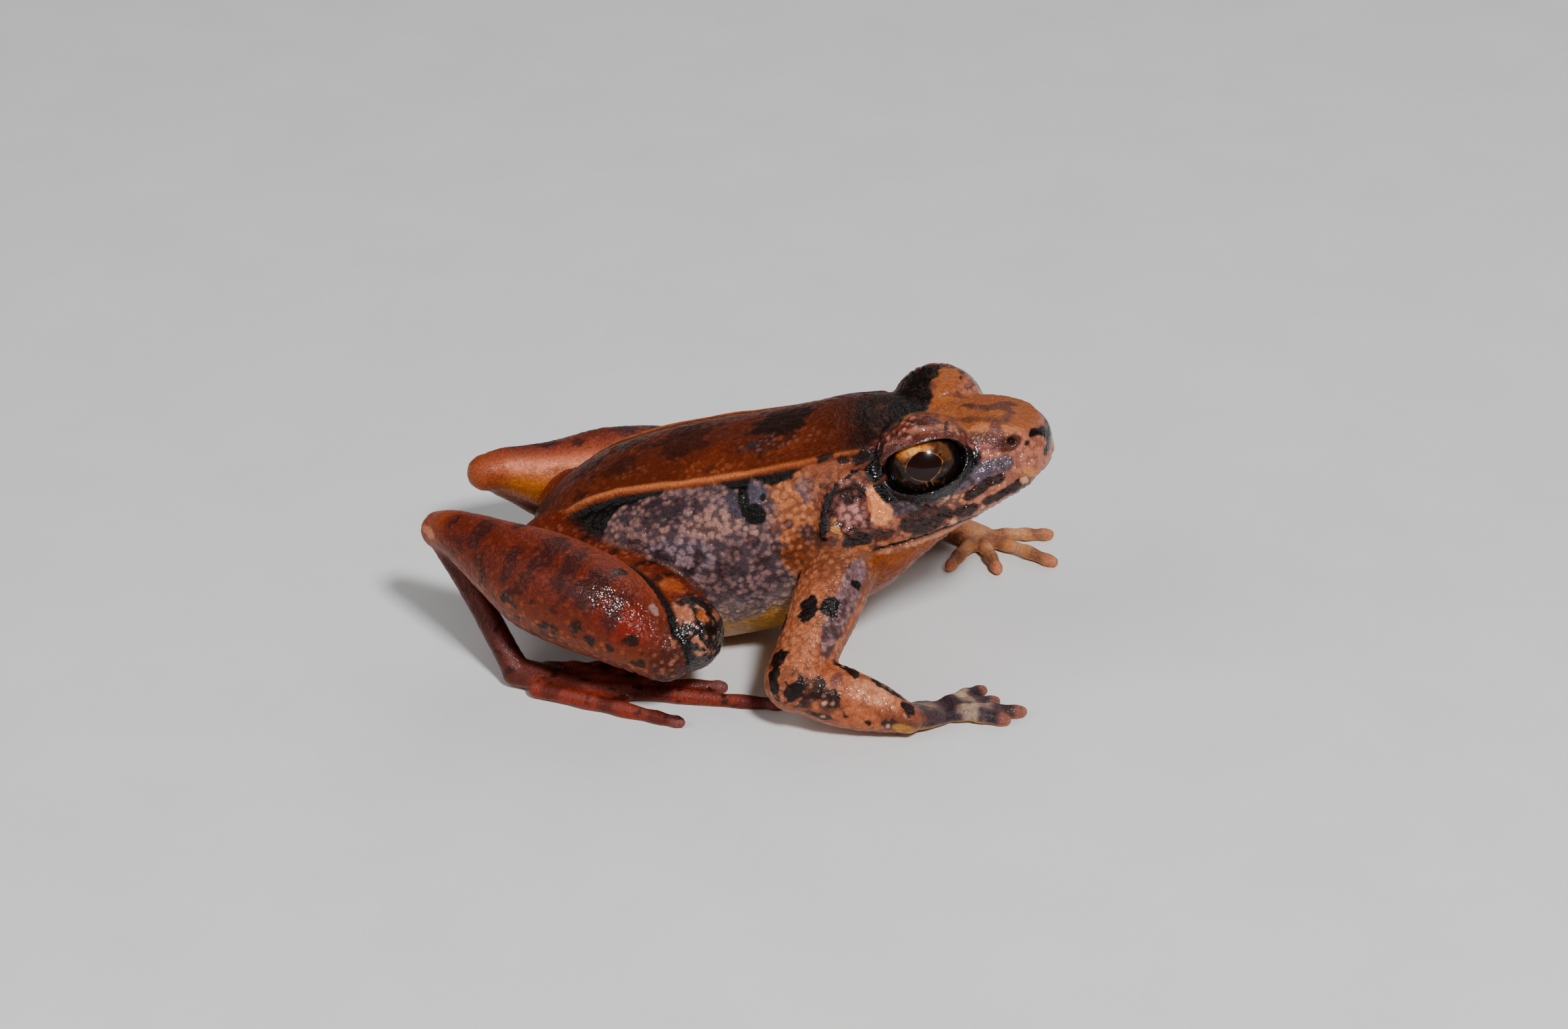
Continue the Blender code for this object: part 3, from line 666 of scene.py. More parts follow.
class Skin:
    """The skin's points with what the carving and the colouring need to know of each."""

    def __init__(self, surface, limbs):
        self.surface, self.places, self.limbs = surface, surface.points, limbs
        self.body = to_body(self.places)
        self.forward, self.outward, self.upward = self.body.T
        self.facing = surface.normals()
        self.reach = eye_distance(self.places)
        fields = [limb_field(limb, self.places) for limb in limbs]
        self.shares = [share for _, share in fields]
        on_head = np.minimum(body_field(self.body), np.maximum(self.reach - LID_DOME[1] - 0.3, 0))
        weights = np.exp(-np.array([on_head, *(np.maximum(gap, 0) for gap, _ in fields)]) / BLEND_WIDTH)
        weights /= weights.sum(0)
        self.on_body, self.on_limb = weights[0], weights[1:]

    def snapped(self, point, sign):
        """The point of the skin nearest to one of the body frame."""
        target = body_points([mirrored(point, sign)])[0]
        return self.places[np.argmin(((self.places - target) ** 2).sum(1))]

    def nearer(self, name, gap):
        """Keeps the smaller of a distance and the one known so far."""
        setattr(self, name, np.minimum(getattr(self, name, 99.0), gap))


def mouth_level(forward):
    """Height of the mouth's line in the body frame."""
    front = BODY_STATIONS[0][0]
    rise = 0.95 * np.exp(-((np.minimum(forward, front) - front) ** 2) / 1.35**2)
    return rise - 0.27 * (1 - np.exp(-((forward / 3.5) ** 2)))


def rim_distance(places):
    """How far outside the edge of its lids each place near an eye lies, in millimetres."""
    distance = np.full(len(places), 9.0)
    turns = np.linspace(-math.pi, math.pi, 73)
    edges = [opening_tilt(turn) for turn in turns]
    for centre, sight in EYES.values():
        away = places - centre
        near = length(away) < 3.6
        local = away[near] @ sight.T
        tilt = np.arctan2(np.hypot(local[:, 0], local[:, 1]), local[:, 2])
        edge = np.interp(np.arctan2(local[:, 1], local[:, 0]), turns, edges)
        distance[near] = (tilt - edge) * length(local)
    return distance


def fold_turn(body):
    """How far round the body, in millimetres, each place lies above the fold along the back."""
    path = smooth_rows(BACK_FOLD, 60)[::-1]
    outs, ups = (np.interp(body[:, 0], path[:, 0], path[:, k]) for k in (1, 2))
    own = np.arctan2(body[:, 2] - 0.8, np.abs(body[:, 1]))
    return (own - np.arctan2(ups - 0.8, outs)) * np.hypot(body[:, 2] - 0.8, body[:, 1])


def carve_features(skin):
    """Mouth, nostrils, eardrums, folds, and the grain of the skin, pushed along the skin's own way out."""
    places, forward, upward = skin.places, skin.forward, skin.upward
    skin.rim, skin.mouth, skin.fold = rim_distance(places), upward - mouth_level(forward), fold_turn(skin.body)
    lips = 0.09 * bump(skin.mouth - 0.32, 0.22) + 0.08 * bump(skin.mouth + 0.34, 0.22)
    lips = lips - 0.24 * bump(skin.mouth, 0.1)
    body_push = lips * ramp(forward, -10.8, -10.0) * ramp(skin.facing @ ABOVE, -0.92, -0.8)
    near = (forward > -6.5) & (upward > 1.2)
    flat = np.column_stack([forward, 0.35 * np.abs(skin.outward), upward])[near]
    for path, height, width in ((LOREAL_HOLLOW, -0.22, 0.75), (CANTHUS, 0.14, 0.3)):
        gap = path_distance(flat, np.array(path) * (1, 0.35, 1), 24)
        body_push[near] += height * bump(gap, width) * ramp(skin.rim[near], 0.3, 0.9)

    for sign in SIDE_SIGN.values():
        way = body_axes((-0.05, sign, 0.14))[2]
        away = places - skin.snapped(EARDRUM, sign)
        depth = away @ way
        skin.nearer("ear", np.where(np.abs(depth) < 1.5, length(away - depth[:, None] * way), 99))
        skin.nearer("nostril", length(places - skin.snapped(NOSTRIL, sign)))
        for name, path in (("ear_fold", EAR_FOLD), ("back_fold", BACK_FOLD)):
            rows = smooth_rows([mirrored(point, sign) for point in path], 40)
            snapped = np.array([skin.snapped(row * (1, sign, 1), sign) for row in rows])
            skin.nearer(name, path_distance(places, snapped, 60))
    body_push += 0.15 * bump(skin.ear - 1.42, 0.17) - 0.13 * ramp(skin.ear, 1.3, 1.1)
    body_push += 0.1 * bump(skin.nostril - 0.36, 0.14) - 0.3 * bump(skin.nostril, 0.2)
    body_push += 0.34 * bump(skin.ear_fold, 0.36)
    fold_line = ramp(forward, -31, -29) * ramp(forward, -8.8, -9.8)
    body_push += fold_line * (0.26 * bump(skin.back_fold, 0.3) - 0.1 * bump(skin.fold + 0.75, 0.3))

    sway = np.column_stack([noise(places, 1.1, 31 + k) for k in range(3)]) * 0.12
    coarse, _ = granules(places + sway, 0.75, 3)
    fine, skin.grain = granules(places + sway, 0.4, 7)
    skin.pebble = pebble = np.maximum(1 - (fine / 0.62) ** 2, 0)
    wart = np.maximum(1 - (coarse / 0.4) ** 2, 0)
    scattered = wart * ramp(noise(places, 2.0, 11), 0.1, 0.6)
    body_push += ramp(skin.fold, 0.2, 0.8) * (0.035 * pebble + 0.07 * scattered)
    body_push += ramp(skin.fold, -0.3, -1.0) * ramp(upward, -4.2, -2.6) * (0.085 * pebble + 0.04 * wart)
    body_push += ramp(upward, -2.6, -4.2) * 0.02 * pebble
    skin.lid = bump(skin.reach - 2.75, 0.5)
    outer_face = ramp(np.abs(skin.outward), 3.0, 3.8)
    body_push += skin.lid * 0.1 * pebble * ramp(skin.rim, 0.25, 0.6) * outer_face
    push = skin.on_body * body_push + 0.05 * rough_noise(places, 2.4, 21)
    for limb, share, weight in zip(skin.limbs, skin.shares, skin.on_limb):
        if limb.kind in ("upper_arm", "forearm", "thigh"):
            push += weight * (0.045 * pebble + 0.03 * scattered)
        elif limb.kind == "shank":
            push += weight * (0.03 + 0.05 * ramp(share, 0.3, 0.1)) * pebble
        elif limb.kind in ("palm", "sole", "tarsus"):
            push += weight * 0.02 * pebble
    push *= 1 - ramp(skin.reach, 3.5, 3.1) * ramp(skin.rim, 0.6, 0.3)
    skin.surface.push(push)


# Colours are written as red, green and blue from 0 to 255.

BLACK = (17, 11, 9)
SLATE = (84, 78, 92)
LILAC = (118, 94, 100)
CREAM = (222, 182, 148)
BACK_DARK = (52, 21, 8)
LIP_BROWN = (46, 21, 12)


def linear(colour):
    return np.where(colour < 0.04045, colour / 12.92, ((colour + 0.055) / 1.055) ** 2.4)


def deepened(colour):
    """Richer and darker, the way moist skin looks."""
    plain = linear(np.clip(colour, 0, 1))
    grey = (plain @ (0.2126, 0.7152, 0.0722))[:, None]
    return 0.88 * np.clip(grey + (plain - grey) * 1.15, 0.0004, 1) ** 1.18


class Coat:
    """The colour and the roughness of some points, painted on layer by layer."""

    def __init__(self, count, rough):
        self.colour, self.rough = np.zeros((count, 3)), np.full(count, rough)

    def over(self, share, colour):
        share = (np.clip(share, 0, 1) * np.ones(len(self.rough)))[:, None]
        self.colour = self.colour * (1 - share) + np.array(colour, float) / 255 * share


class Area(Coat):
    """The skin's points that belong to the body or to a limb, and how far each does."""

    KNOWN = (
        "places", "forward", "outward", "upward", "facing", "mouth", "ear", "nostril", "fold", "back_fold",
        "grain", "pebble", "lid", "rim", "reach",
    )

    def __init__(self, skin, share):
        self.index = np.flatnonzero(share > 0.004)
        super().__init__(len(self.index), SKIN_ROUGHNESS)
        self.share = share[self.index]
        for name in self.KNOWN:
            setattr(self, name, getattr(skin, name)[self.index])
        self.mirror = np.column_stack([self.forward, np.abs(self.outward), self.upward])
        self.mid = rough_noise(self.places, 1.8, 43)
        self.quick = rough_noise(self.places, 0.7, 47)
        self.slow = rough_noise(self.places, 5, 41)
        self.ragged = 0.5 * self.mid + 0.5 * self.quick + 0.35 * noise(self.places, 0.28, 49)
        self.tops = ramp(self.pebble + 0.3 * noise(self.places, 0.2, 53), 0.35, 0.85)
        self.gaps = ramp(self.pebble, 0.3, 0.0)
        self.beads = self.tops * self.grain

    def spot(self, centre, radii, rag=0.6, edge=0.3):
        """A ragged blot round a place of the body frame, alike on both sides."""
        return ramp(1 + rag * self.ragged - length((self.mirror - centre) / radii), -edge / 2, edge / 2)

    def spots(self, *rows):
        """Blots, each with its share, colour, centre, radii and, where given, its raggedness and edge."""
        for share, colour, *form in rows:
            self.over(share * self.spot(*form), colour)

    def stroke(self, path, width, rag=0.35):
        """A ragged stroke along a path of the body frame, alike on both sides."""
        flat, path = self.mirror * (1, 0.35, 1), np.array(path) * (1, 0.35, 1)
        near = ((flat > path.min(0) - 3 * width) & (flat < path.max(0) + 3 * width)).all(1)
        share = np.zeros(len(near))
        gap = path_distance(flat[near], path, 24) / width
        share[near] = ramp(1 + rag * self.ragged[near] - gap, -0.2, 0.2)
        return share

    def granules(self, pale, dark, pale_share, dark_share):
        """Pale tops and dark gaps of the skin's grain."""
        self.over(dark_share * self.gaps, dark)
        self.over(pale_share * self.tops * (0.25 + 0.75 * self.grain), pale)


def trunk_colours(area):
    forward, upward = area.forward, area.upward
    mid, quick, slow, ragged = area.mid, area.quick, area.slow, area.ragged
    beaded = 0.25 + 0.75 * area.tops
    area.over(1, (98, 44, 22))
    area.over(0.75 * ramp(slow + 0.6 * mid, 0.0, 0.8), (116, 54, 32))
    area.over(0.7 * ramp(mid + 0.4 * quick, 0.3, 0.75), BACK_DARK)
    area.over(0.5 * area.beads, (142, 84, 62))
    area.spots(
        (0.85, (42, 19, 9), (-15.2, 0.4, 6.9), (1.5, 1.3, 1.5)),
        (0.7, (62, 26, 11), (-21.5, 0.8, 7.0), (1.6, 1.2, 1.5)),
        (0.6, (60, 25, 10), (-25.8, 1.6, 6.8), (1.2, 1.0, 1.5)),
        (0.75 * beaded, LILAC, (-16.5, 2.4, 6.7), (1.1, 0.7, 1.0), 0.9, 0.8),
        (0.8, (58, 48, 54), (-16.9, 2.2, 6.7), (0.35, 0.3, 1.0), 0.8),
        (0.55 * beaded, (168, 104, 76), (-20.0, 3.6, 6.4), (2.2, 0.6, 0.9), 1.1, 1.0),
        (0.5 * beaded, (156, 106, 96), (-12.8, 2.7, 6.8), (2.0, 0.7, 0.8), 1.1, 1.0),
        (0.5 * beaded, (132, 78, 62), (-24.5, 2.6, 6.4), (1.6, 0.8, 0.8), 1.1, 1.0),
    )

    flank = ramp(area.fold + 0.08 * quick, -0.2, -0.42)[:, None]
    back = area.colour.copy()
    tan = ramp(forward + 0.7 * ragged, -16.3, -15.6)
    area.over(1, (124, 99, 99))
    area.over(0.5 * ramp(slow + 0.5 * mid, 0.0, 0.7), (134, 100, 92))
    area.over(0.5 * ramp(-slow + 0.5 * mid, 0.1, 0.8), (96, 90, 104))
    area.spots(
        (0.6, (178, 136, 118), (-19.5, 6.3, 3.9), (1.7, 3.0, 1.0)),
        (0.5, (142, 132, 146), (-22.2, 7.0, 2.0), (2.4, 3.0, 1.6)),
    )
    area.over(0.95 * tan, (182, 114, 76))
    area.spots(
        (0.8, LILAC, (-13.6, 5.6, 4.3), (0.65, 3.0, 0.8)),
        (0.9, (120, 60, 28), (-14.4, 6.1, 0.9), (1.6, 3.0, 1.3)),
    )
    area.over(0.65 * ramp(mid + 0.8 * quick, 0.38, 0.7), (66, 44, 42))
    for ahead, up, size in (
        (-23.45, 5.06, 0.55), (-22.1, 4.9, 0.5), (-21.5, 5.3, 0.4), (-20.4, 4.9, 0.45), (-18.8, 2.1, 0.6),
        (-19.7, 1.1, 0.6), (-17.3, 0.85, 0.55), (-15.1, 2.7, 0.35), (-14.3, 2.0, 0.4), (-24.8, 3.6, 0.5),
        (-20.9, 2.3, 0.45), (-17.6, 2.4, 0.4), (-16.2, 1.6, 0.4), (-25.6, 2.0, 0.5), (-23.3, 2.6, 0.45),
    ):
        area.over(0.75 * area.spot((ahead, 6.2, up), (size, 3.0, size)), (72, 48, 48))
    area.granules((204, 164, 150), (46, 38, 46), 0.6 * (0.6 + 0.4 * ramp(mid, -0.6, 0.5)), 0.5 - 0.2 * tan)
    area.over(0.38 * ramp(quick + 0.6 * mid, 0.25, 0.7) * (1 - tan), (60, 50, 60))
    area.spots(
        (0.85, (74, 66, 76), (-18.1, 5.2, 4.6), (0.5, 3.0, 0.8)),
        (0.8, SLATE, (-16.7, 5.4, 4.8), (0.75, 3.0, 0.65)),
        (1, BLACK, (-16.9, 5.8, 3.75), (0.62, 3.0, 0.6), 0.35),
        (1, BLACK, (-17.45, 5.4, 4.6), (0.36, 3.0, 0.85), 0.35),
        (1, BLACK, (-16.25, 5.5, 4.5), (0.2, 3.0, 0.25), 0.35),
    )
    # How far down the black reaches under the back fold: at the groin, and as a thin strip ahead of it.
    depth = -area.fold - 0.3
    groin = np.interp(
        forward,
        (-30.5, -28.6, -26.9, -26.2, -25.4, -24.2, -22.6, -22.0),
        (5, 4.2, 2.6, 1.5, 0.75, 0.45, 0.2, -0.3),
    )
    strip = np.interp(
        forward,
        (-20.4, -19.8, -19.0, -18.4, -17.3, -16.8, -16.2, -15.2, -14.4, -13.4, -12.5, -12.0, -11.0, -10.2),
        (-0.3, 0.12, -0.2, 0.45, 0.5, 0.1, 0.4, 0.55, 0.35, -0.1, 0.1, 0.5, 0.5, 0),
    )
    area.over(ramp(groin + 0.18 * ragged - depth, -0.1, 0.12), BLACK)
    area.over(0.95 * ramp(1.25 * strip + 0.25 * ragged - depth, -0.1, 0.1), BLACK)
    below = ramp(upward + 0.7 * mid, -0.6, -2.2)
    area.over(0.65 * below, (158, 138, 132))
    area.over(ramp(upward + 0.7 * mid + 0.3 * quick, -2.4, -3.8), (178, 134, 80))
    area.over(0.5 * below * area.beads, CREAM)
    area.over(0.6 * ramp(upward, -4.6, -5.8), (172, 118, 60))
    area.colour = back * (1 - flank) + area.colour * flank

    line = ramp(forward, -30.8, -28.5) * ramp(forward, -8.4, -9.4) * (0.55 + 0.45 * ramp(forward, -15, -19))
    line = line * bump(area.back_fold - 0.02, 0.24 + 0.06 * mid) * ramp(ragged, -1.5, -0.6)
    area.over(1.2 * line, (176, 108, 74))
    # A narrower, paler stripe on the crest of the fold: painted highlight.
    area.over(0.45 * bump(area.back_fold, 0.14) * line, (206, 138, 92))
    area.over(0.5 * line * ramp(ragged, 0.25, 0.5), (112, 58, 34))
    area.over(0.7 * ramp(forward, -29.5, -31.5), BACK_DARK)


def head_colours(area):
    forward, across, upward = area.mirror.T
    mid, quick, ragged, level = area.mid, area.quick, area.ragged, area.facing @ ABOVE
    signed = np.column_stack([forward, area.outward, upward])
    level_facing, ahead = ramp(level, 0.72, 0.45), ramp(forward, -9.6, -8.6)
    head = ramp(forward, -13.6, -12.8) * ramp(area.fold + 4 * ramp(forward, -9.2, -8.2), -0.2, -0.4)
    cheek = np.maximum(ahead * ramp(area.mouth, -0.45, -0.15), head * ramp(upward, 0.2, 0.6))
    top = ramp(level, 0.5, 0.78) * ahead
    bar = ramp(forward - 0.2 * area.outward + 0.35 * ragged, -6.15, -6.45)
    bar = bar * ramp(forward + 1.4 * area.slow + 0.8 * ragged, -11.2, -7.4) * ramp(level, 0.3, 0.55)
    drum = ramp(area.ear + 0.2 * ragged, 1.85, 1.5)
    ridge = [(-3.5, 2.95, 4.75), (-2.9, 2.25, 4.6), (-1.4, 2.0, 4.05), (-0.5, 1.8, 3.6)]
    under_eye = [(-8.9, 5.4, 2.1), (-7.0, 5.4, 2.05), (-5.2, 5.2, 2.2), (-3.5, 4.0, 2.45), (-1.7, 3.1, 2.4)]

    nape = ramp(forward + 0.4 * ragged, -13.5, -10.0) * ramp(area.fold, -0.1, 0.2)
    area.over(0.75 * nape, (70, 29, 14))
    area.over(cheek, (150, 94, 72))
    area.over(0.6 * cheek * ramp(mid, 0.1, 0.6), (92, 52, 46))
    area.over(0.6 * cheek * ramp(-mid - 0.4 * quick, 0.1, 0.6), (176, 116, 92))
    area.over(ahead * ramp(forward, -5.0, -3.8) * 0.9, (186, 126, 106))
    area.spots((0.7, (168, 108, 108), (-2.6, 3.0, 3.9), (1.3, 1.2, 0.55)))
    area.over(top, (160, 98, 62))
    area.over(0.5 * top * ramp(mid, 0.0, 0.6), (190, 118, 62))
    area.over(0.5 * top * ramp(mid + 0.5 * quick, 0.45, 0.8), (112, 62, 34))
    for centre, radii, colour in (
        ((-3.8, 0.3, 5.1), (0.38, 0.3, 1), (80, 42, 22)),
        ((-3.4, -1.5, 5.0), (0.75, 0.35, 1), (104, 66, 46)),
        ((-2.6, -0.2, 4.9), (0.25, 0.45, 1), (112, 66, 36)),
        ((-4.4, 1.6, 5.3), (0.5, 0.3, 1), (104, 60, 36)),
        ((-1.3, 0.7, 4.4), (0.3, 0.25, 1), (104, 60, 34)),
    ):
        area.over(0.8 * ramp(1 + 0.5 * ragged - length((signed - centre) / radii), -0.3, 0.3), colour)
    # Pale line along the ridge from eye to nostril: painted highlight.
    area.over(0.7 * area.stroke(ridge, 0.16, 0.8), (196, 138, 108))
    area.over(bar, (22, 10, 5))
    area.over(0.85 * area.stroke(under_eye, 0.5), SLATE)
    area.spots(
        (0.75, (104, 90, 106), (-3.5, 4.0, 2.6), (1.5, 1.2, 0.75)),
        (0.6 * area.gaps, (30, 24, 34), (-3.9, 4.2, 2.9), (0.9, 1.2, 0.5)),
        (0.8, (206, 150, 124), (-5.2, 4.9, 1.6), (1.3, 1.5, 0.42)),
        (0.8, (196, 136, 94), (-0.8, 2.7, 1.2), (0.6, 1.2, 0.5)),
        (1, LIP_BROWN, (-7.0, 5.3, 0.8), (1.75, 1.5, 0.78), 0.3, 0.2),
        (0.6, (92, 38, 26), (-6.6, 5.3, 1.2), (0.9, 1.5, 0.3), 0.4),
        (1, LIP_BROWN, (-4.5, 4.5, 0.5), (0.8, 1.5, 0.4), 0.3, 0.2),
    )
    area.over(area.stroke([(-4.2, 4.3, 1.35), (-3.0, 3.85, 1.62), (-2.2, 3.45, 1.68)], 0.34), (52, 24, 18))
    area.over(area.stroke([(-3.3, 3.95, 0.6), (-2.2, 3.5, 0.7), (-1.3, 3.0, 0.85)], 0.3), LIP_BROWN)
    area.spots(
        (1, (34, 17, 13), (-11.2, 5.9, 0.75), (0.95, 1.5, 0.5), 0.4, 0.2),
        (0.9, (84, 38, 26), (-9.6, 5.8, 0.7), (0.8, 1.5, 0.4), 0.4),
    )

    area.over(drum, (122, 74, 66))
    area.spots(
        # Pale pink spot on the eardrum: painted highlight.
        (0.85 * drum, (200, 146, 140), (-11.0, 5.9, 2.5), (0.75, 1.5, 0.75), 0.5, 0.6),
        # Dark upper part of the eardrum: painted shade under the fold above it.
        (0.9 * drum, (58, 28, 22), (-10.7, 5.6, 3.6), (0.95, 1.5, 0.6), 0.4),
    )
    area.over(0.6 * bump(area.ear - 1.3, 0.14), (74, 40, 34))
    area.over(0.6 * drum * area.beads, (214, 166, 156))
    area.over(0.9 * drum * ramp(ragged, 0.35, 0.6), (64, 34, 28))
    area.spots((0.95, (226, 166, 112), (-12.3, 5.9, 1.7), (0.34, 1.5, 0.6), 0.4))

    area.over(0.6 * cheek * ahead * ramp(mid + 0.5 * quick, 0.15, 0.6), (88, 58, 60))
    calm = 1 - 0.55 * ramp(forward, -4.2, -2.8)
    area.granules((190, 136, 114), (42, 25, 22), 0.24 * ahead * calm, 0.5 * cheek * level_facing * calm)
    patch = area.spot((-9.35, 5.4, 2.45), (0.78, 1.5, 1.42), 0.25, 0.2)
    area.over(patch, (222, 150, 108))
    area.over(0.7 * patch * area.beads, (238, 188, 156))
    area.spots((0.95, (236, 190, 160), (-8.9, 5.5, 3.0), (0.24, 1.5, 0.24)))
    lid = area.lid * ramp(across + 0.3 * ragged, 3.3, 3.8) * ramp(upward + 0.3 * ragged, 3.2, 4.2)
    area.over(0.95 * lid, (120, 64, 50))
    area.over(0.6 * lid * ramp(mid, 0.1, 0.6), (66, 34, 34))
    area.over(0.9 * lid * area.tops * ramp(area.grain, 0.2, 0.7), (208, 150, 140))
    area.over(0.6 * lid * area.gaps, (28, 16, 15))
    edge = lid * bump(area.rim - 0.55, 0.3) * ramp(forward, -8.2, -7.2)
    area.over(0.7 * edge * ramp(mid + 0.5, 0.0, 0.6), (206, 150, 128))
    area.spots(
        (0.6, BLACK, (-4.35, 3.9, 5.6), (0.09, 1.0, 0.6), 0.8),
        (0.7, CREAM, (-4.0, 4.1, 5.1), (0.3, 0.8, 0.2), 0.3),
    )

    arch = [
        (-8.7, 5.1, 4.75), (-9.6, 5.4, 4.7), (-10.6, 5.5, 4.55), (-11.7, 5.8, 4.1), (-12.4, 5.95, 3.3),
        (-12.9, 6.1, 2.3), (-13.2, 6.1, 1.4),
    ]
    tip = [(-0.05, 1.25, 3.25), (0.42, 0.55, 2.85), (0.66, 0.6, 2.2), (0.36, 1.15, 1.75)]
    area.over(area.stroke(arch, 0.22, 0.7) * (1 - 0.7 * area.tops * ramp(area.grain, 0.45, 0.7)), (15, 10, 10))
    area.spots(
        (0.85, (20, 12, 11), (-8.9, 4.9, 5.2), (0.5, 1.0, 0.5), 0.4),
        (0.8, (30, 17, 14), (-12.1, 4.5, 5.7), (0.75, 0.9, 0.26), 1.0),
        (0.8, (30, 17, 14), (-11.0, 4.6, 5.4), (0.5, 0.9, 0.26), 1.0),
        (0.8, (30, 17, 14), (-9.9, 4.8, 5.3), (0.5, 0.9, 0.26), 1.0),
        (0.9, (84, 40, 28), (-1.2, 2.6, 3.3), (0.66, 1.0, 0.44), 0.3),
    )
    # The nostril's hole painted black: painted shade inside it.
    area.over(0.95 * bump(area.nostril, 0.22), BLACK)
    area.over((0.97 - 0.5 * ramp(area.outward, 0.0, 0.6)) * area.stroke(tip, 0.21, 0.4), BLACK)
    area.spots(
        (0.9, (44, 24, 24), (-0.32, 2.0, 2.95), (0.15, 0.5, 0.15), 0.2),
        (0.85, (212, 170, 146), (-5.5, 4.7, 0.1), (0.2, 1.0, 0.2), 0.9),
        (0.85, (212, 170, 146), (-1.0, 2.85, 0.9), (0.19, 1.0, 0.19), 0.9),
        (0.85, (212, 170, 146), (-3.7, 4.1, 0.34), (0.22, 1.0, 0.22), 0.9),
        (0.85, (212, 170, 146), (-5.3, 5.1, 2.2), (0.24, 1.0, 0.24), 0.9),
    )

    throat = ramp(area.mouth, -0.25, -0.7) * ramp(forward, -13.8, -11.5)
    area.over(throat, (146, 76, 22))
    area.over(0.4 * throat * ramp(area.slow + mid, 0.1, 0.8), (176, 104, 38))
    jaw = bump(area.mouth + 0.34, 0.22) * ramp(forward, -10.6, -9.4)
    area.over(jaw, (200, 142, 112))
    area.over(0.5 * jaw * ramp(mid, 0.2, 0.6), (120, 66, 50))
    # Near-black line in the groove of the mouth: painted shade in the seam.
    area.over(bump(area.mouth, 0.1) * ramp(forward, -10.8, -10.2), (22, 11, 8))

    under = ramp(upward - EYE[2], 0.2, -0.4)
    edge = ramp(area.reach, 3.3, 3.1) * ramp(area.rim, 0.2, 0.1)
    area.over(ramp(area.rim + 0.15 * ragged, 0.6, 0.4) * under, (15, 10, 11))
    area.over(edge * ramp(area.reach, 2.62, 2.54), (13, 9, 9))
    area.over(edge * ramp(area.reach, 2.54, 2.62) * (1 - under) * 0.8, (104, 62, 56))
    area.spots(
        (0.95, (16, 11, 12), (-3.7, 4.1, 3.9), (0.6, 0.9, 0.5), 0.5),
        (0.95, (16, 11, 12), (-9.0, 5.0, 4.4), (0.6, 0.9, 0.55), 0.5),
    )
    area.rough -= 0.15 * cheek * level_facing + 0.16 * ramp(area.rim, 0.7, 0.3) + 0.14 * lid


class LimbArea(Area):
    """The points of a limb: how far along it each lies, and how far round (0 outward or ahead, 90 above)."""

    def __init__(self, skin, limb, share):
        super().__init__(skin, share)
        self.limb, self.girth = limb, limb.path[:, 3].mean()
        start, end = limb.ends
        self.length = length(end - start)
        way = (end - start) / self.length
        over = UP - way[2] * way
        over /= length(over)
        outer = np.cross(way, over)
        if outer @ np.array((0.6, limb.sign, 0)) < 0:
            outer = -outer
        reach = (self.places - start) @ way
        out = self.places - start - reach[:, None] * way
        self.along, self.turn = reach / self.length, np.degrees(np.arctan2(out @ over, out @ outer))

    def turn_from(self, turn):
        return (self.turn - turn + 180) % 360 - 180

    def patch(self, along, turn, long, wide, rag=0.7, edge=0.3):
        """A ragged blot at a share of the length and a turn, with its half sizes in millimetres."""
        ahead, round_by = (self.along - along) * self.length, np.radians(self.turn_from(turn)) * self.girth
        size = np.hypot(ahead / long, round_by / wide)
        return ramp(1 + rag * self.ragged - size, -edge / 2, edge / 2)

    def patches(self, share, colour, form, *rows):
        """Blots of one colour and form, each with its place and its half sizes."""
        for row in rows:
            self.over(share * self.patch(*row, *form), colour)

    def facing_turn(self, turn, width):
        return bump(self.turn_from(turn), width)


def upper_arm_colours(area):
    area.over(1, (168, 104, 76))
    area.over(0.6 * ramp(area.mid, 0.0, 0.7), (184, 122, 92))
    area.over(0.5 * ramp(-area.mid - 0.5 * area.quick, 0.2, 0.7), (142, 78, 56))
    area.over(0.8 * ramp(area.along + 0.1 * area.ragged, 0.28, 0.1), (128, 78, 54))
    front = area.patch(0.3, 38, 3.6, 0.75, 0.3)
    area.over(0.9 * front, (136, 114, 122))
    area.over(0.6 * front * ramp(area.ragged, 0.1, 0.4), (58, 44, 50))
    area.granules((216, 168, 142), (90, 56, 44), 0.4, 0.3)
    area.over(0.6 * area.facing_turn(-90, 55), (176, 124, 74))
    area.patches(
        0.97, (24, 13, 10), (0.95, 0.2),
        (0.48, 97, 0.8, 0.5), (0.42, 62, 0.5, 0.4), (0.6, 150, 0.8, 0.45), (0.95, 125, 0.6, 0.6),
        (1.12, 118, 0.7, 0.6), (1.14, 66, 0.55, 0.9), (1.14, 14, 0.6, 0.6), (0.15, 30, 0.3, 0.4),
        (0.2, 160, 0.6, 0.5), (0.8, -170, 0.8, 0.5),
    )


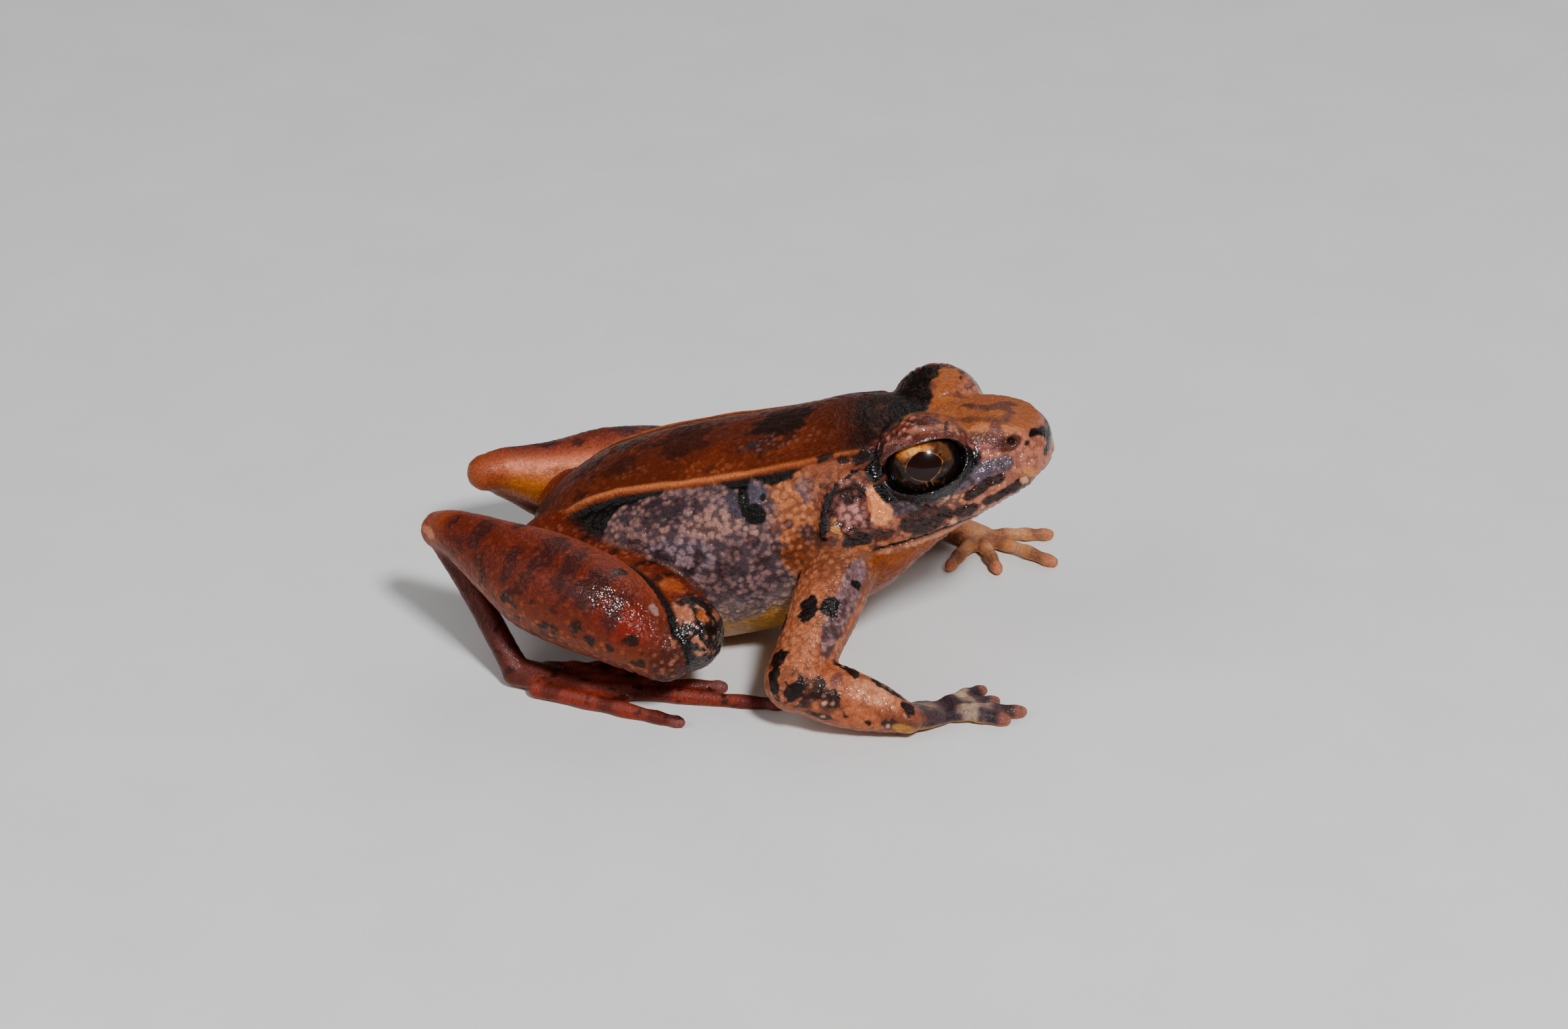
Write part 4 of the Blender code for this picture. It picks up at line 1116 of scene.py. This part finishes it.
def forearm_colours(area):
    area.over(1, (178, 110, 80))
    # Pale pink patch on the upper front of the forearm: painted highlight; the same place is also made glossier
    # below.
    area.over(0.75 * area.patch(0.66, 62, 1.6, 0.8, 0.3, 0.9), (232, 172, 140))
    area.over(0.5 * ramp(area.mid, 0.1, 0.7), (172, 98, 62))
    area.over(0.7 * area.patch(0.32, 64, 0.35, 0.6), (112, 72, 78))
    area.granules((214, 162, 130), (110, 66, 46), 0.25, 0.25)
    area.patches(
        0.95, (30, 16, 13), (1.0, 0.2),
        (0.4, 98, 0.85, 0.5), (0.62, 104, 0.6, 0.3), (0.8, 100, 0.9, 0.35), (0.0, 20, 0.6, 0.7),
        (0.17, 24, 0.6, 0.6), (0.34, 22, 0.5, 0.5), (0.5, -6, 0.7, 0.4), (0.7, -8, 0.6, 0.4),
        (0.86, 0, 0.5, 0.4), (0.28, -24, 0.9, 0.35), (1.0, 70, 0.4, 0.6),
    )
    lower = area.facing_turn(-6, 36) * ramp(area.mid + 0.5 * area.quick, -0.7, 0.1)
    area.over(0.75 * lower, (74, 40, 30))
    warts = np.maximum(lower, area.facing_turn(108, 14)) * ramp(area.grain, 0.35, 0.5)
    area.over(0.95 * warts * area.tops, (226, 184, 160))
    area.over(0.8 * area.patch(1.02, -10, 0.8, 0.5, 0.3), (206, 150, 66))
    area.over(0.5 * area.facing_turn(-100, 50), (190, 138, 84))
    area.rough -= 0.1 * lower + 0.14 * area.patch(0.66, 62, 1.8, 1.0, 0.3, 0.9)


def hand_colours(area):
    """The near hand is dark and banded, the far one pale."""
    pale = area.limb.side == "left"
    area.over(1, (196, 140, 104) if pale else (84, 68, 72))
    area.over(0.8 * ramp(area.mid + 0.3 * area.quick, 0.05, 0.5), (170, 122, 96) if pale else (186, 160, 138))
    if area.limb.kind == "finger":
        band = np.sin(area.along * 13 + area.mid * 0.8)
        area.over(0.75 * ramp(band, 0.1, 0.8), (206, 158, 124) if pale else (198, 172, 150))
        area.over(0.6 * ramp(band, -0.3, -0.9), (130, 92, 74) if pale else (52, 40, 46))
        area.over(0.8 * ramp(area.along, 0.86, 0.97), (190, 128, 104) if pale else (160, 106, 92))
    else:
        area.over(0.7 * ramp(area.quick + area.mid, 0.4, 0.8), (120, 82, 62) if pale else (44, 32, 34))
    area.over(0.7 * ramp(-area.facing[:, 2], 0.1, 0.7), (206, 150, 92))


def shank_colours(area):
    area.over(1, (104, 45, 30))
    area.over(0.6 * ramp(area.mid + 0.4 * area.slow, 0.0, 0.7), (118, 56, 40))
    area.over(0.4 * ramp(area.slow, 0.1, 0.7), (92, 36, 20))
    area.over(0.5 * area.facing_turn(96, 26), (146, 74, 56))
    # Orange-cream rim on the outer side: the rim's own colour, made darker as painted shade.
    area.over(0.75 * area.facing_turn(-6, 24), (134, 72, 38))
    area.over(0.8 * area.patch(0.1, 45, 1.6, 0.9, 0.4, 1.0), (132, 38, 20))
    area.over(0.85 * np.maximum(area.facing_turn(180, 42), area.facing_turn(-140, 40)), (188, 120, 56))
    # Pale pink along the top of the inner side: painted highlight.
    area.over(0.9 * area.facing_turn(134, 28) * ramp(area.mid, -1.1, -0.1), (236, 158, 130))
    area.patches(
        0.75, (66, 34, 34), (0.8, 0.7),
        (0.77, 62, 0.6, 0.9), (0.57, 42, 0.4, 0.8), (0.47, 70, 0.9, 0.9), (0.36, 62, 0.7, 1.0),
        (0.24, 58, 0.8, 1.2), (0.14, 50, 0.7, 1.0), (0.66, 90, 0.4, 0.4), (0.9, 60, 0.3, 0.5),
    )
    area.patches(
        0.85, (38, 17, 12), (0.9,),
        (0.23, 21, 0.3, 0.22), (0.18, 12, 0.42, 0.34), (0.05, 29, 0.4, 0.3), (0.21, 85, 0.3, 0.25),
        (0.36, 6, 0.22, 0.2), (0.02, 0, 0.4, 0.4), (0.55, 12, 0.2, 0.18),
    )
    area.over(0.8 * ramp(area.quick + 0.3 * area.mid, 0.34, 0.55) * area.facing_turn(8, 30), (50, 24, 15))
    area.over(0.5 * area.facing_turn(-6, 22) * area.beads, (208, 146, 100))
    area.over(0.3 * area.beads, (184, 108, 86))
    area.over(0.85 * ramp(area.along + 0.06 * area.ragged, 0.9, 1.0), (160, 88, 60))
    area.over(0.8 * area.patch(1.0, 20, 0.7, 0.5), (218, 152, 120))
    area.over(0.8 * area.patch(0.05, 78, 0.35, 0.3, 0.9), (166, 144, 140))
    knee = ramp(area.along + 0.04 * area.ragged, 0.0, -0.07)
    area.over(0.8 * knee, (70, 32, 22))
    area.over(0.7 * knee * area.beads, (206, 150, 124))
    area.rough -= 0.18 * area.patch(0.17, 62, 1.8, 1.0, 0.5, 1.0)


def thigh_colours(area):
    area.over(1, (108, 44, 24))
    area.over(0.6 * ramp(area.mid, 0.0, 0.7), (128, 58, 36))
    area.over(0.7 * np.maximum(area.facing_turn(-90, 60), area.facing_turn(180, 40)), (158, 100, 52))
    for along in (0.18, 0.4, 0.59, 0.74):
        bar = bump((area.along - along) * area.length + 0.3 * area.mid, 0.22) * area.facing_turn(95, 55)
        area.over(0.9 * bar, (46, 20, 12))
    area.over(0.8 * area.patch(0.85, 93, 0.8, 0.7), (168, 92, 52))
    knee = ramp(area.along + 0.06 * area.ragged, 0.94, 1.0)
    area.over(knee, (24, 15, 14))
    for place, colour in (
        ((1.05, 64, 1.0, 0.9), (190, 126, 100)),
        ((1.12, 96, 0.6, 0.6), (176, 98, 58)),
        ((1.17, 10, 0.7, 0.8), (200, 142, 116)),
        ((1.0, 20, 0.5, 0.6), (120, 52, 32)),
        ((1.0, 150, 0.8, 0.8), (140, 76, 50)),
        ((1.12, 134, 0.6, 0.6), (176, 114, 84)),
        ((1.2, 50, 0.5, 0.6), (190, 130, 104)),
    ):
        area.patches(0.9, colour, (1.1,), place)
    area.over(0.5 * knee * area.beads, (214, 160, 140))
    area.over(0.35 * area.beads, (200, 150, 130))
    area.rough -= 0.18 * knee


def foot_colours(area):
    kind = area.limb.kind
    area.over(1, (140, 62, 46) if kind == "toe" else (88, 44, 34))
    area.over(0.6 * ramp(area.mid, 0.0, 0.6), (116, 62, 52))
    # Pinkish-lilac stripe along the top: painted sheen.
    area.over(0.6 * area.facing_turn(60, 26), (140, 92, 92))
    if kind == "toe":
        area.over(0.55 * ramp(np.sin(area.along * 16 + area.mid), 0.2, 0.9), (78, 38, 32))
        area.over(0.5 * ramp(area.along, 0.9, 0.98), (126, 96, 100))
    area.over(0.7 * ramp(area.ragged, 0.2, 0.5), (54, 27, 21))
    area.over(0.6 * ramp(-area.facing[:, 2], 0.1, 0.7), (150, 92, 60))


LIMB_COLOURS = {
    "upper_arm": upper_arm_colours, "forearm": forearm_colours, "palm": hand_colours, "finger": hand_colours,
    "thigh": thigh_colours, "shank": shank_colours, "tarsus": foot_colours, "sole": foot_colours,
    "toe": foot_colours,
}


def painted(skin):
    """The whole skin's coat: each part's looks by how far the point belongs to it."""
    coat = Coat(len(skin.places), 0.0)
    body = Area(skin, skin.on_body)
    trunk_colours(body)
    head_colours(body)
    areas = [body]
    for limb, share in zip(skin.limbs, skin.on_limb):
        areas.append(LimbArea(skin, limb, share))
        LIMB_COLOURS[limb.kind](areas[-1])
    for area in areas:
        coat.colour[area.index] += area.colour * area.share[:, None]
        coat.rough[area.index] += area.rough * area.share
    weights = {(limb.side, limb.kind): weight for limb, weight in zip(skin.limbs, skin.on_limb)}
    # Darker where the thigh lies on the shank: painted shade in the crease between them.
    for side in SIDE_SIGN:
        crease = ramp(4 * weights[side, "thigh"] * weights[side, "shank"], 0.35, 0.95)
        coat.colour *= 1 - 0.8 * crease[:, None]
    coat.rough /= skin.on_body + skin.on_limb.sum(0)
    coat.colour = deepened(coat.colour)
    return coat


def eye_coat(forward, upward, depth, places):
    """The iris and the pupil, painted on the eyeball in millimetres from its line of sight."""
    coat = Coat(len(places), EYE_ROUGHNESS)
    fine = rough_noise(places, 0.3, 71)
    spokes = np.column_stack([np.arctan2(upward, forward) * 3.0, np.hypot(forward, upward) * 0.5, depth * 0])
    streak = noise(spokes, 0.16, 73)
    ring = ramp(np.hypot(forward / 1.9, upward / 1.75) + 0.04 * fine, 1.0, 0.9)
    gold = ring * ramp(upward + 0.15 * fine + 0.05 * streak - 0.15 * np.abs(forward), 0.6, 0.85)
    gold = gold * ramp(forward + 0.2 * fine + 0.5 * upward, 1.6, 1.1)
    # The brightest spot of the gold, near its top: painted highlight.
    gold_glint = np.exp(-(((forward + 0.3) / 0.7) ** 2) - ((upward - 1.15) / 0.3) ** 2)
    pupil = (np.abs(forward / 1.1) ** 1.5 + np.abs((upward - 0.05) / 0.92) ** 1.7) ** (1 / 1.6)
    notch = bump(forward - 0.02, 0.1) * ramp(upward, -0.7, -0.85) * ramp(upward, -1.5, -1.3)
    beside_notch = ramp(upward, -0.8, -0.95) * ramp(upward, -1.4, -1.2)
    for share, colour in (
        (1, (24, 15, 10)),
        (0.8 * ring * ramp(upward + 0.1 * fine, 0.3, 0.9), (72, 38, 20)),
        (0.7 * ring * ramp(forward + 0.2 * fine, 1.0, 1.4) * ramp(upward, -0.5, 0.2), (112, 66, 36)),
        (gold, (170, 90, 28)),
        # painted highlight on the gold
        (1.2 * gold * gold_glint, (238, 160, 72)),
        (0.55 * gold * ramp(streak + fine, 0.1, 0.6), (120, 62, 22)),
        (0.5 * ring * (1 - gold) * ramp(fine + 0.5 * streak, 0.2, 0.7), (128, 74, 40)),
        (0.8 * bump(pupil - 1.04, 0.035) * ramp(fine, -0.7, 0.2), (172, 104, 56)),
        (ramp(pupil, 1.03, 0.98), (26, 9, 6)),
        (notch, (10, 5, 4)),
        (0.7 * bump(forward + 0.16, 0.05) * beside_notch, (150, 96, 60)),
        (0.7 * bump(forward - 0.18, 0.05) * beside_notch, (150, 96, 60)),
        (ramp(np.abs(forward) + 0.1 * fine, 1.75, 2.0), (12, 9, 8)),
    ):
        coat.over(share, colour)
    return coat


class Finish:
    """A material being made, its shader and its other nodes."""

    def __init__(self, name):
        self.material = bpy.data.materials.new(name)
        self.material.use_nodes = True
        self.tree = self.material.node_tree
        self.shader = self.tree.nodes["Principled BSDF"]

    def plug(self, node, inputs):
        """Sets each input to a number, or links it to another node's output."""
        for name, value in inputs.items():
            if isinstance(value, bpy.types.NodeSocket):
                self.tree.links.new(value, node.inputs[name])
            else:
                node.inputs[name].default_value = value

    def node(self, kind, output, inputs, **settings):
        made = self.tree.nodes.new("ShaderNode" + kind)
        for name, value in settings.items():
            setattr(made, name, value)
        self.plug(made, inputs)
        return made.outputs[output]

    def painted(self, name, output):
        return self.node("Attribute", output, {}, attribute_name=name)

    def pattern(self, kind, output, size):
        """Noise or cells with lumps of a size in millimetres."""
        where = self.node("TexCoord", "Object", {})
        return self.node(kind, output, {"Scale": 1 / (size * MM), "Vector": where})

    def noise(self, size):
        lumps = self.pattern("TexNoise", "Fac", size)
        lumps.node.inputs["Detail"].default_value = 3.0
        return lumps

    def spread(self, size, low, high):
        """Noise that runs from low to high."""
        lumps = self.noise(size)
        ends = {"Value": lumps, "From Min": 0.3, "From Max": 0.7, "To Min": low, "To Max": high}
        return self.node("MapRange", "Result", ends)

    def tinted(self, size, low, high):
        """The painted colour with fine noise in its brightness."""
        inputs = {0: self.painted("colour", "Color"), "Scale": self.spread(size, low, high)}
        return self.node("VectorMath", "Vector", inputs, operation="SCALE")


def skin_material():
    finish = Finish("frog_skin")
    rough = finish.painted("rough", "Fac")
    grain = finish.node(
        "Bump", "Normal", {"Distance": -0.035 * MM, "Height": finish.pattern("TexVoronoi", "Distance", 0.17)}
    )
    lumps = finish.noise(0.07)
    gloss = {"Value": rough, "From Min": 0.22, "From Max": 0.42, "To Min": 0.7, "To Max": 0.1}
    finish.plug(finish.shader, {
        "Base Color": finish.tinted(0.16, 0.72, 1.25),
        "Roughness": finish.node("Math", "Value", {0: rough, 1: finish.spread(0.4, -0.08, 0.1)}),
        "Normal": finish.node("Bump", "Normal", {"Distance": 0.02 * MM, "Height": lumps, "Normal": grain}),
        "Specular IOR Level": 0.14,
        "Subsurface Weight": 0.1,
        "Subsurface Radius": (1.0, 0.4, 0.25),
        "Subsurface Scale": 0.5 * MM,
        "Coat Normal": grain,
        "Coat Weight": finish.node("MapRange", "Result", gloss),
        "Coat Roughness": 0.1,
    })
    return finish.material


def eye_material():
    finish = Finish("frog_eye")
    finish.plug(finish.shader, {
        "Base Color": finish.tinted(0.07, 0.75, 1.25),
        "Roughness": finish.painted("rough", "Fac"),
        "Specular IOR Level": 0.1,
        "Coat Weight": 0.3,
        "Coat Roughness": 0.03,
    })
    return finish.material


def floor_material():
    finish = Finish("pale_floor")
    tint = finish.spread(9, 0.76, 0.8)
    grey = finish.node("CombineColor", "Color", {"Red": tint, "Green": tint, "Blue": tint})
    finish.plug(finish.shader, {"Base Color": grey, "Roughness": 0.8})
    return finish.material


# The pieces.


def finished(name, points, faces, colour, rough):
    """A piece in metres in the solids' place, with its colours and its roughness on its points."""
    made = mesh_object(name, (points - FOOTPRINT_MIDDLE) * MM, faces)
    values = np.column_stack([colour, np.ones(len(points))])
    for attribute, kind, field, numbers in (
        ("colour", "FLOAT_COLOR", "color", values), ("rough", "FLOAT", "value", rough)
    ):
        data = made.data.attributes.new(attribute, kind, "POINT").data
        data.foreach_set(field, numbers.astype(np.float32).ravel())
    made.data.shade_smooth()
    return made


def make_skin():
    cutters, domes, rims = [], [], []
    for sign, (centre, sight) in EYES.items():
        opening = ellipsoid_shell(centre + sight[2] * LID_OPENING_OUT, sight, LID_OPENING)
        hollow = ellipsoid_shell(centre, sight, (EYE_RADIUS - 0.1,) * 3)
        cutters += [opening, hollow]
        domes.append(carved(ellipsoid_shell(centre, body_axes((0, sign, 0)), LID_DOME), opening, hollow))
        rims.append(lid_rim_shell(centre, sight))
    shells = [carved(body_shell(), *cutters), *domes, *rims]
    limbs = []
    for side in SIDE_SIGN:
        leg, web = leg_limbs(side)
        limbs += arm_limbs(side) + leg
        shells.append(web)
    surface = Surface(grown_together(shells + [limb.shell() for limb in limbs]))
    surface.smooth(2)
    surface.fillet(FILLET_PASSES, fillet_shares(surface.points, limbs))
    surface.smooth(2)
    floored(surface.points)
    skin = Skin(surface, limbs)
    carve_features(skin)
    coat = painted(skin)
    return finished("skin", surface.points, surface.faces, coat.colour, coat.rough)


def fillet_shares(places, limbs):
    """How much each inner corner is rounded: none round the eyes, little where one flesh lies on another."""
    share = ramp(eye_distance(places), 2.6, 3.3)
    gaps = {(limb.side, limb.kind): limb_field(limb, places)[0] for limb in limbs if limb.kind in CREASED_LIMBS}
    body = body_field(to_body(places))
    for side in SIDE_SIGN:
        thigh, shank, arm, forearm = (gaps[side, kind] for kind in CREASED_LIMBS)
        pairs = (thigh, shank, 0.9), (thigh, body, 0.7), (shank, body, 0.9), (arm, forearm, 0.6)
        for one, other, most in pairs:
            share *= 1 - most * ramp(np.maximum(one, other), 1.3, 0.6)
    return share


def make_eye(side):
    centre, sight = EYES[SIDE_SIGN[side]]
    tilts = np.concatenate([np.linspace(0.01, 1.3, 110), np.linspace(1.33, math.pi - 0.05, 30)])
    local = ball_rings(tilts, 160)
    rows = [centre + ring @ sight * EYE_RADIUS for ring in local]
    points, faces = ring_shell(rows, centre + sight[2] * EYE_RADIUS, centre - sight[2] * EYE_RADIUS)
    forward, upward, depth = (np.vstack([*local, (0, 0, 1), (0, 0, -1)]) * EYE_RADIUS).T
    coat = eye_coat(forward * np.sign(sight[0] @ ALONG), upward, depth, points)
    return finished("eyeball_" + side, points, faces, linear(coat.colour), coat.rough)


def make_floor():
    size = FLOOR_HALF_WIDTH
    corners = [(-size, -size, 0), (size, -size, 0), (size, size, 0), (-size, size, 0)]
    floor = mesh_object("floor", corners, [(0, 1, 2, 3)])
    floor.data.materials.append(floor_material())


def make_lights():
    world = bpy.data.worlds.new("studio")
    bpy.context.scene.world = world
    world.use_nodes = True
    world.node_tree.nodes["Background"].inputs["Color"].default_value = (1, 0.98, 0.95, 1)
    world.node_tree.nodes["Background"].inputs["Strength"].default_value = 0.1
    for name, place, size, power in (
        ("key", (0.16, -0.26, 0.32), 0.06, 2.1),
        ("fill", (-0.3, -0.2, 0.25), 0.3, 0.6),
        ("far", (0.1, 0.35, 0.35), 0.4, 0.6),
    ):
        lamp = bpy.data.lights.new(name, "AREA")
        lamp.size, lamp.energy = size, power
        thing = bpy.data.objects.new(name, lamp)
        bpy.context.scene.collection.objects.link(thing)
        thing.location = place
        thing.rotation_euler = (Vector((0, 0, 0.008)) - Vector(place)).to_track_quat("-Z", "Y").to_euler()


def make_camera():
    azimuth, elevation = CAMERA_AZIMUTH, CAMERA_ELEVATION
    right = Vector((math.cos(azimuth), math.sin(azimuth), 0))
    level = Vector((math.sin(azimuth), -math.cos(azimuth), 0)) * math.cos(elevation)
    back = level + Vector((0, 0, math.sin(elevation)))
    up = back.cross(right)
    centre = Vector(VIEW_CENTRE) - Vector(FOOTPRINT_MIDDLE) + right * VIEW_SHIFT[0] + up * VIEW_SHIFT[1]
    lens = bpy.data.cameras.new("camera")
    lens.lens, lens.sensor_width, lens.sensor_fit = CAMERA_LENS, 36, "HORIZONTAL"
    lens.clip_start, lens.clip_end = 0.01, 10
    camera = bpy.data.objects.new("camera", lens)
    bpy.context.scene.collection.objects.link(camera)
    place = (centre + back * CAMERA_DISTANCE) * MM
    camera.matrix_world = Matrix.Translation(place) @ Matrix((right, up, back)).transposed().to_4x4()
    bpy.context.scene.camera = camera


skin = make_skin()
skin.data.materials.append(skin_material())
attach(skin, "root")
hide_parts(*[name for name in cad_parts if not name.startswith("eye_")])
eye_finish = eye_material()
for side in SIDE_SIGN:
    eyeball = make_eye(side)
    eyeball.data.materials.append(eye_finish)
    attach(eyeball, "root")
    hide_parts("eye_" + side)
make_floor()
make_lights()
make_camera()
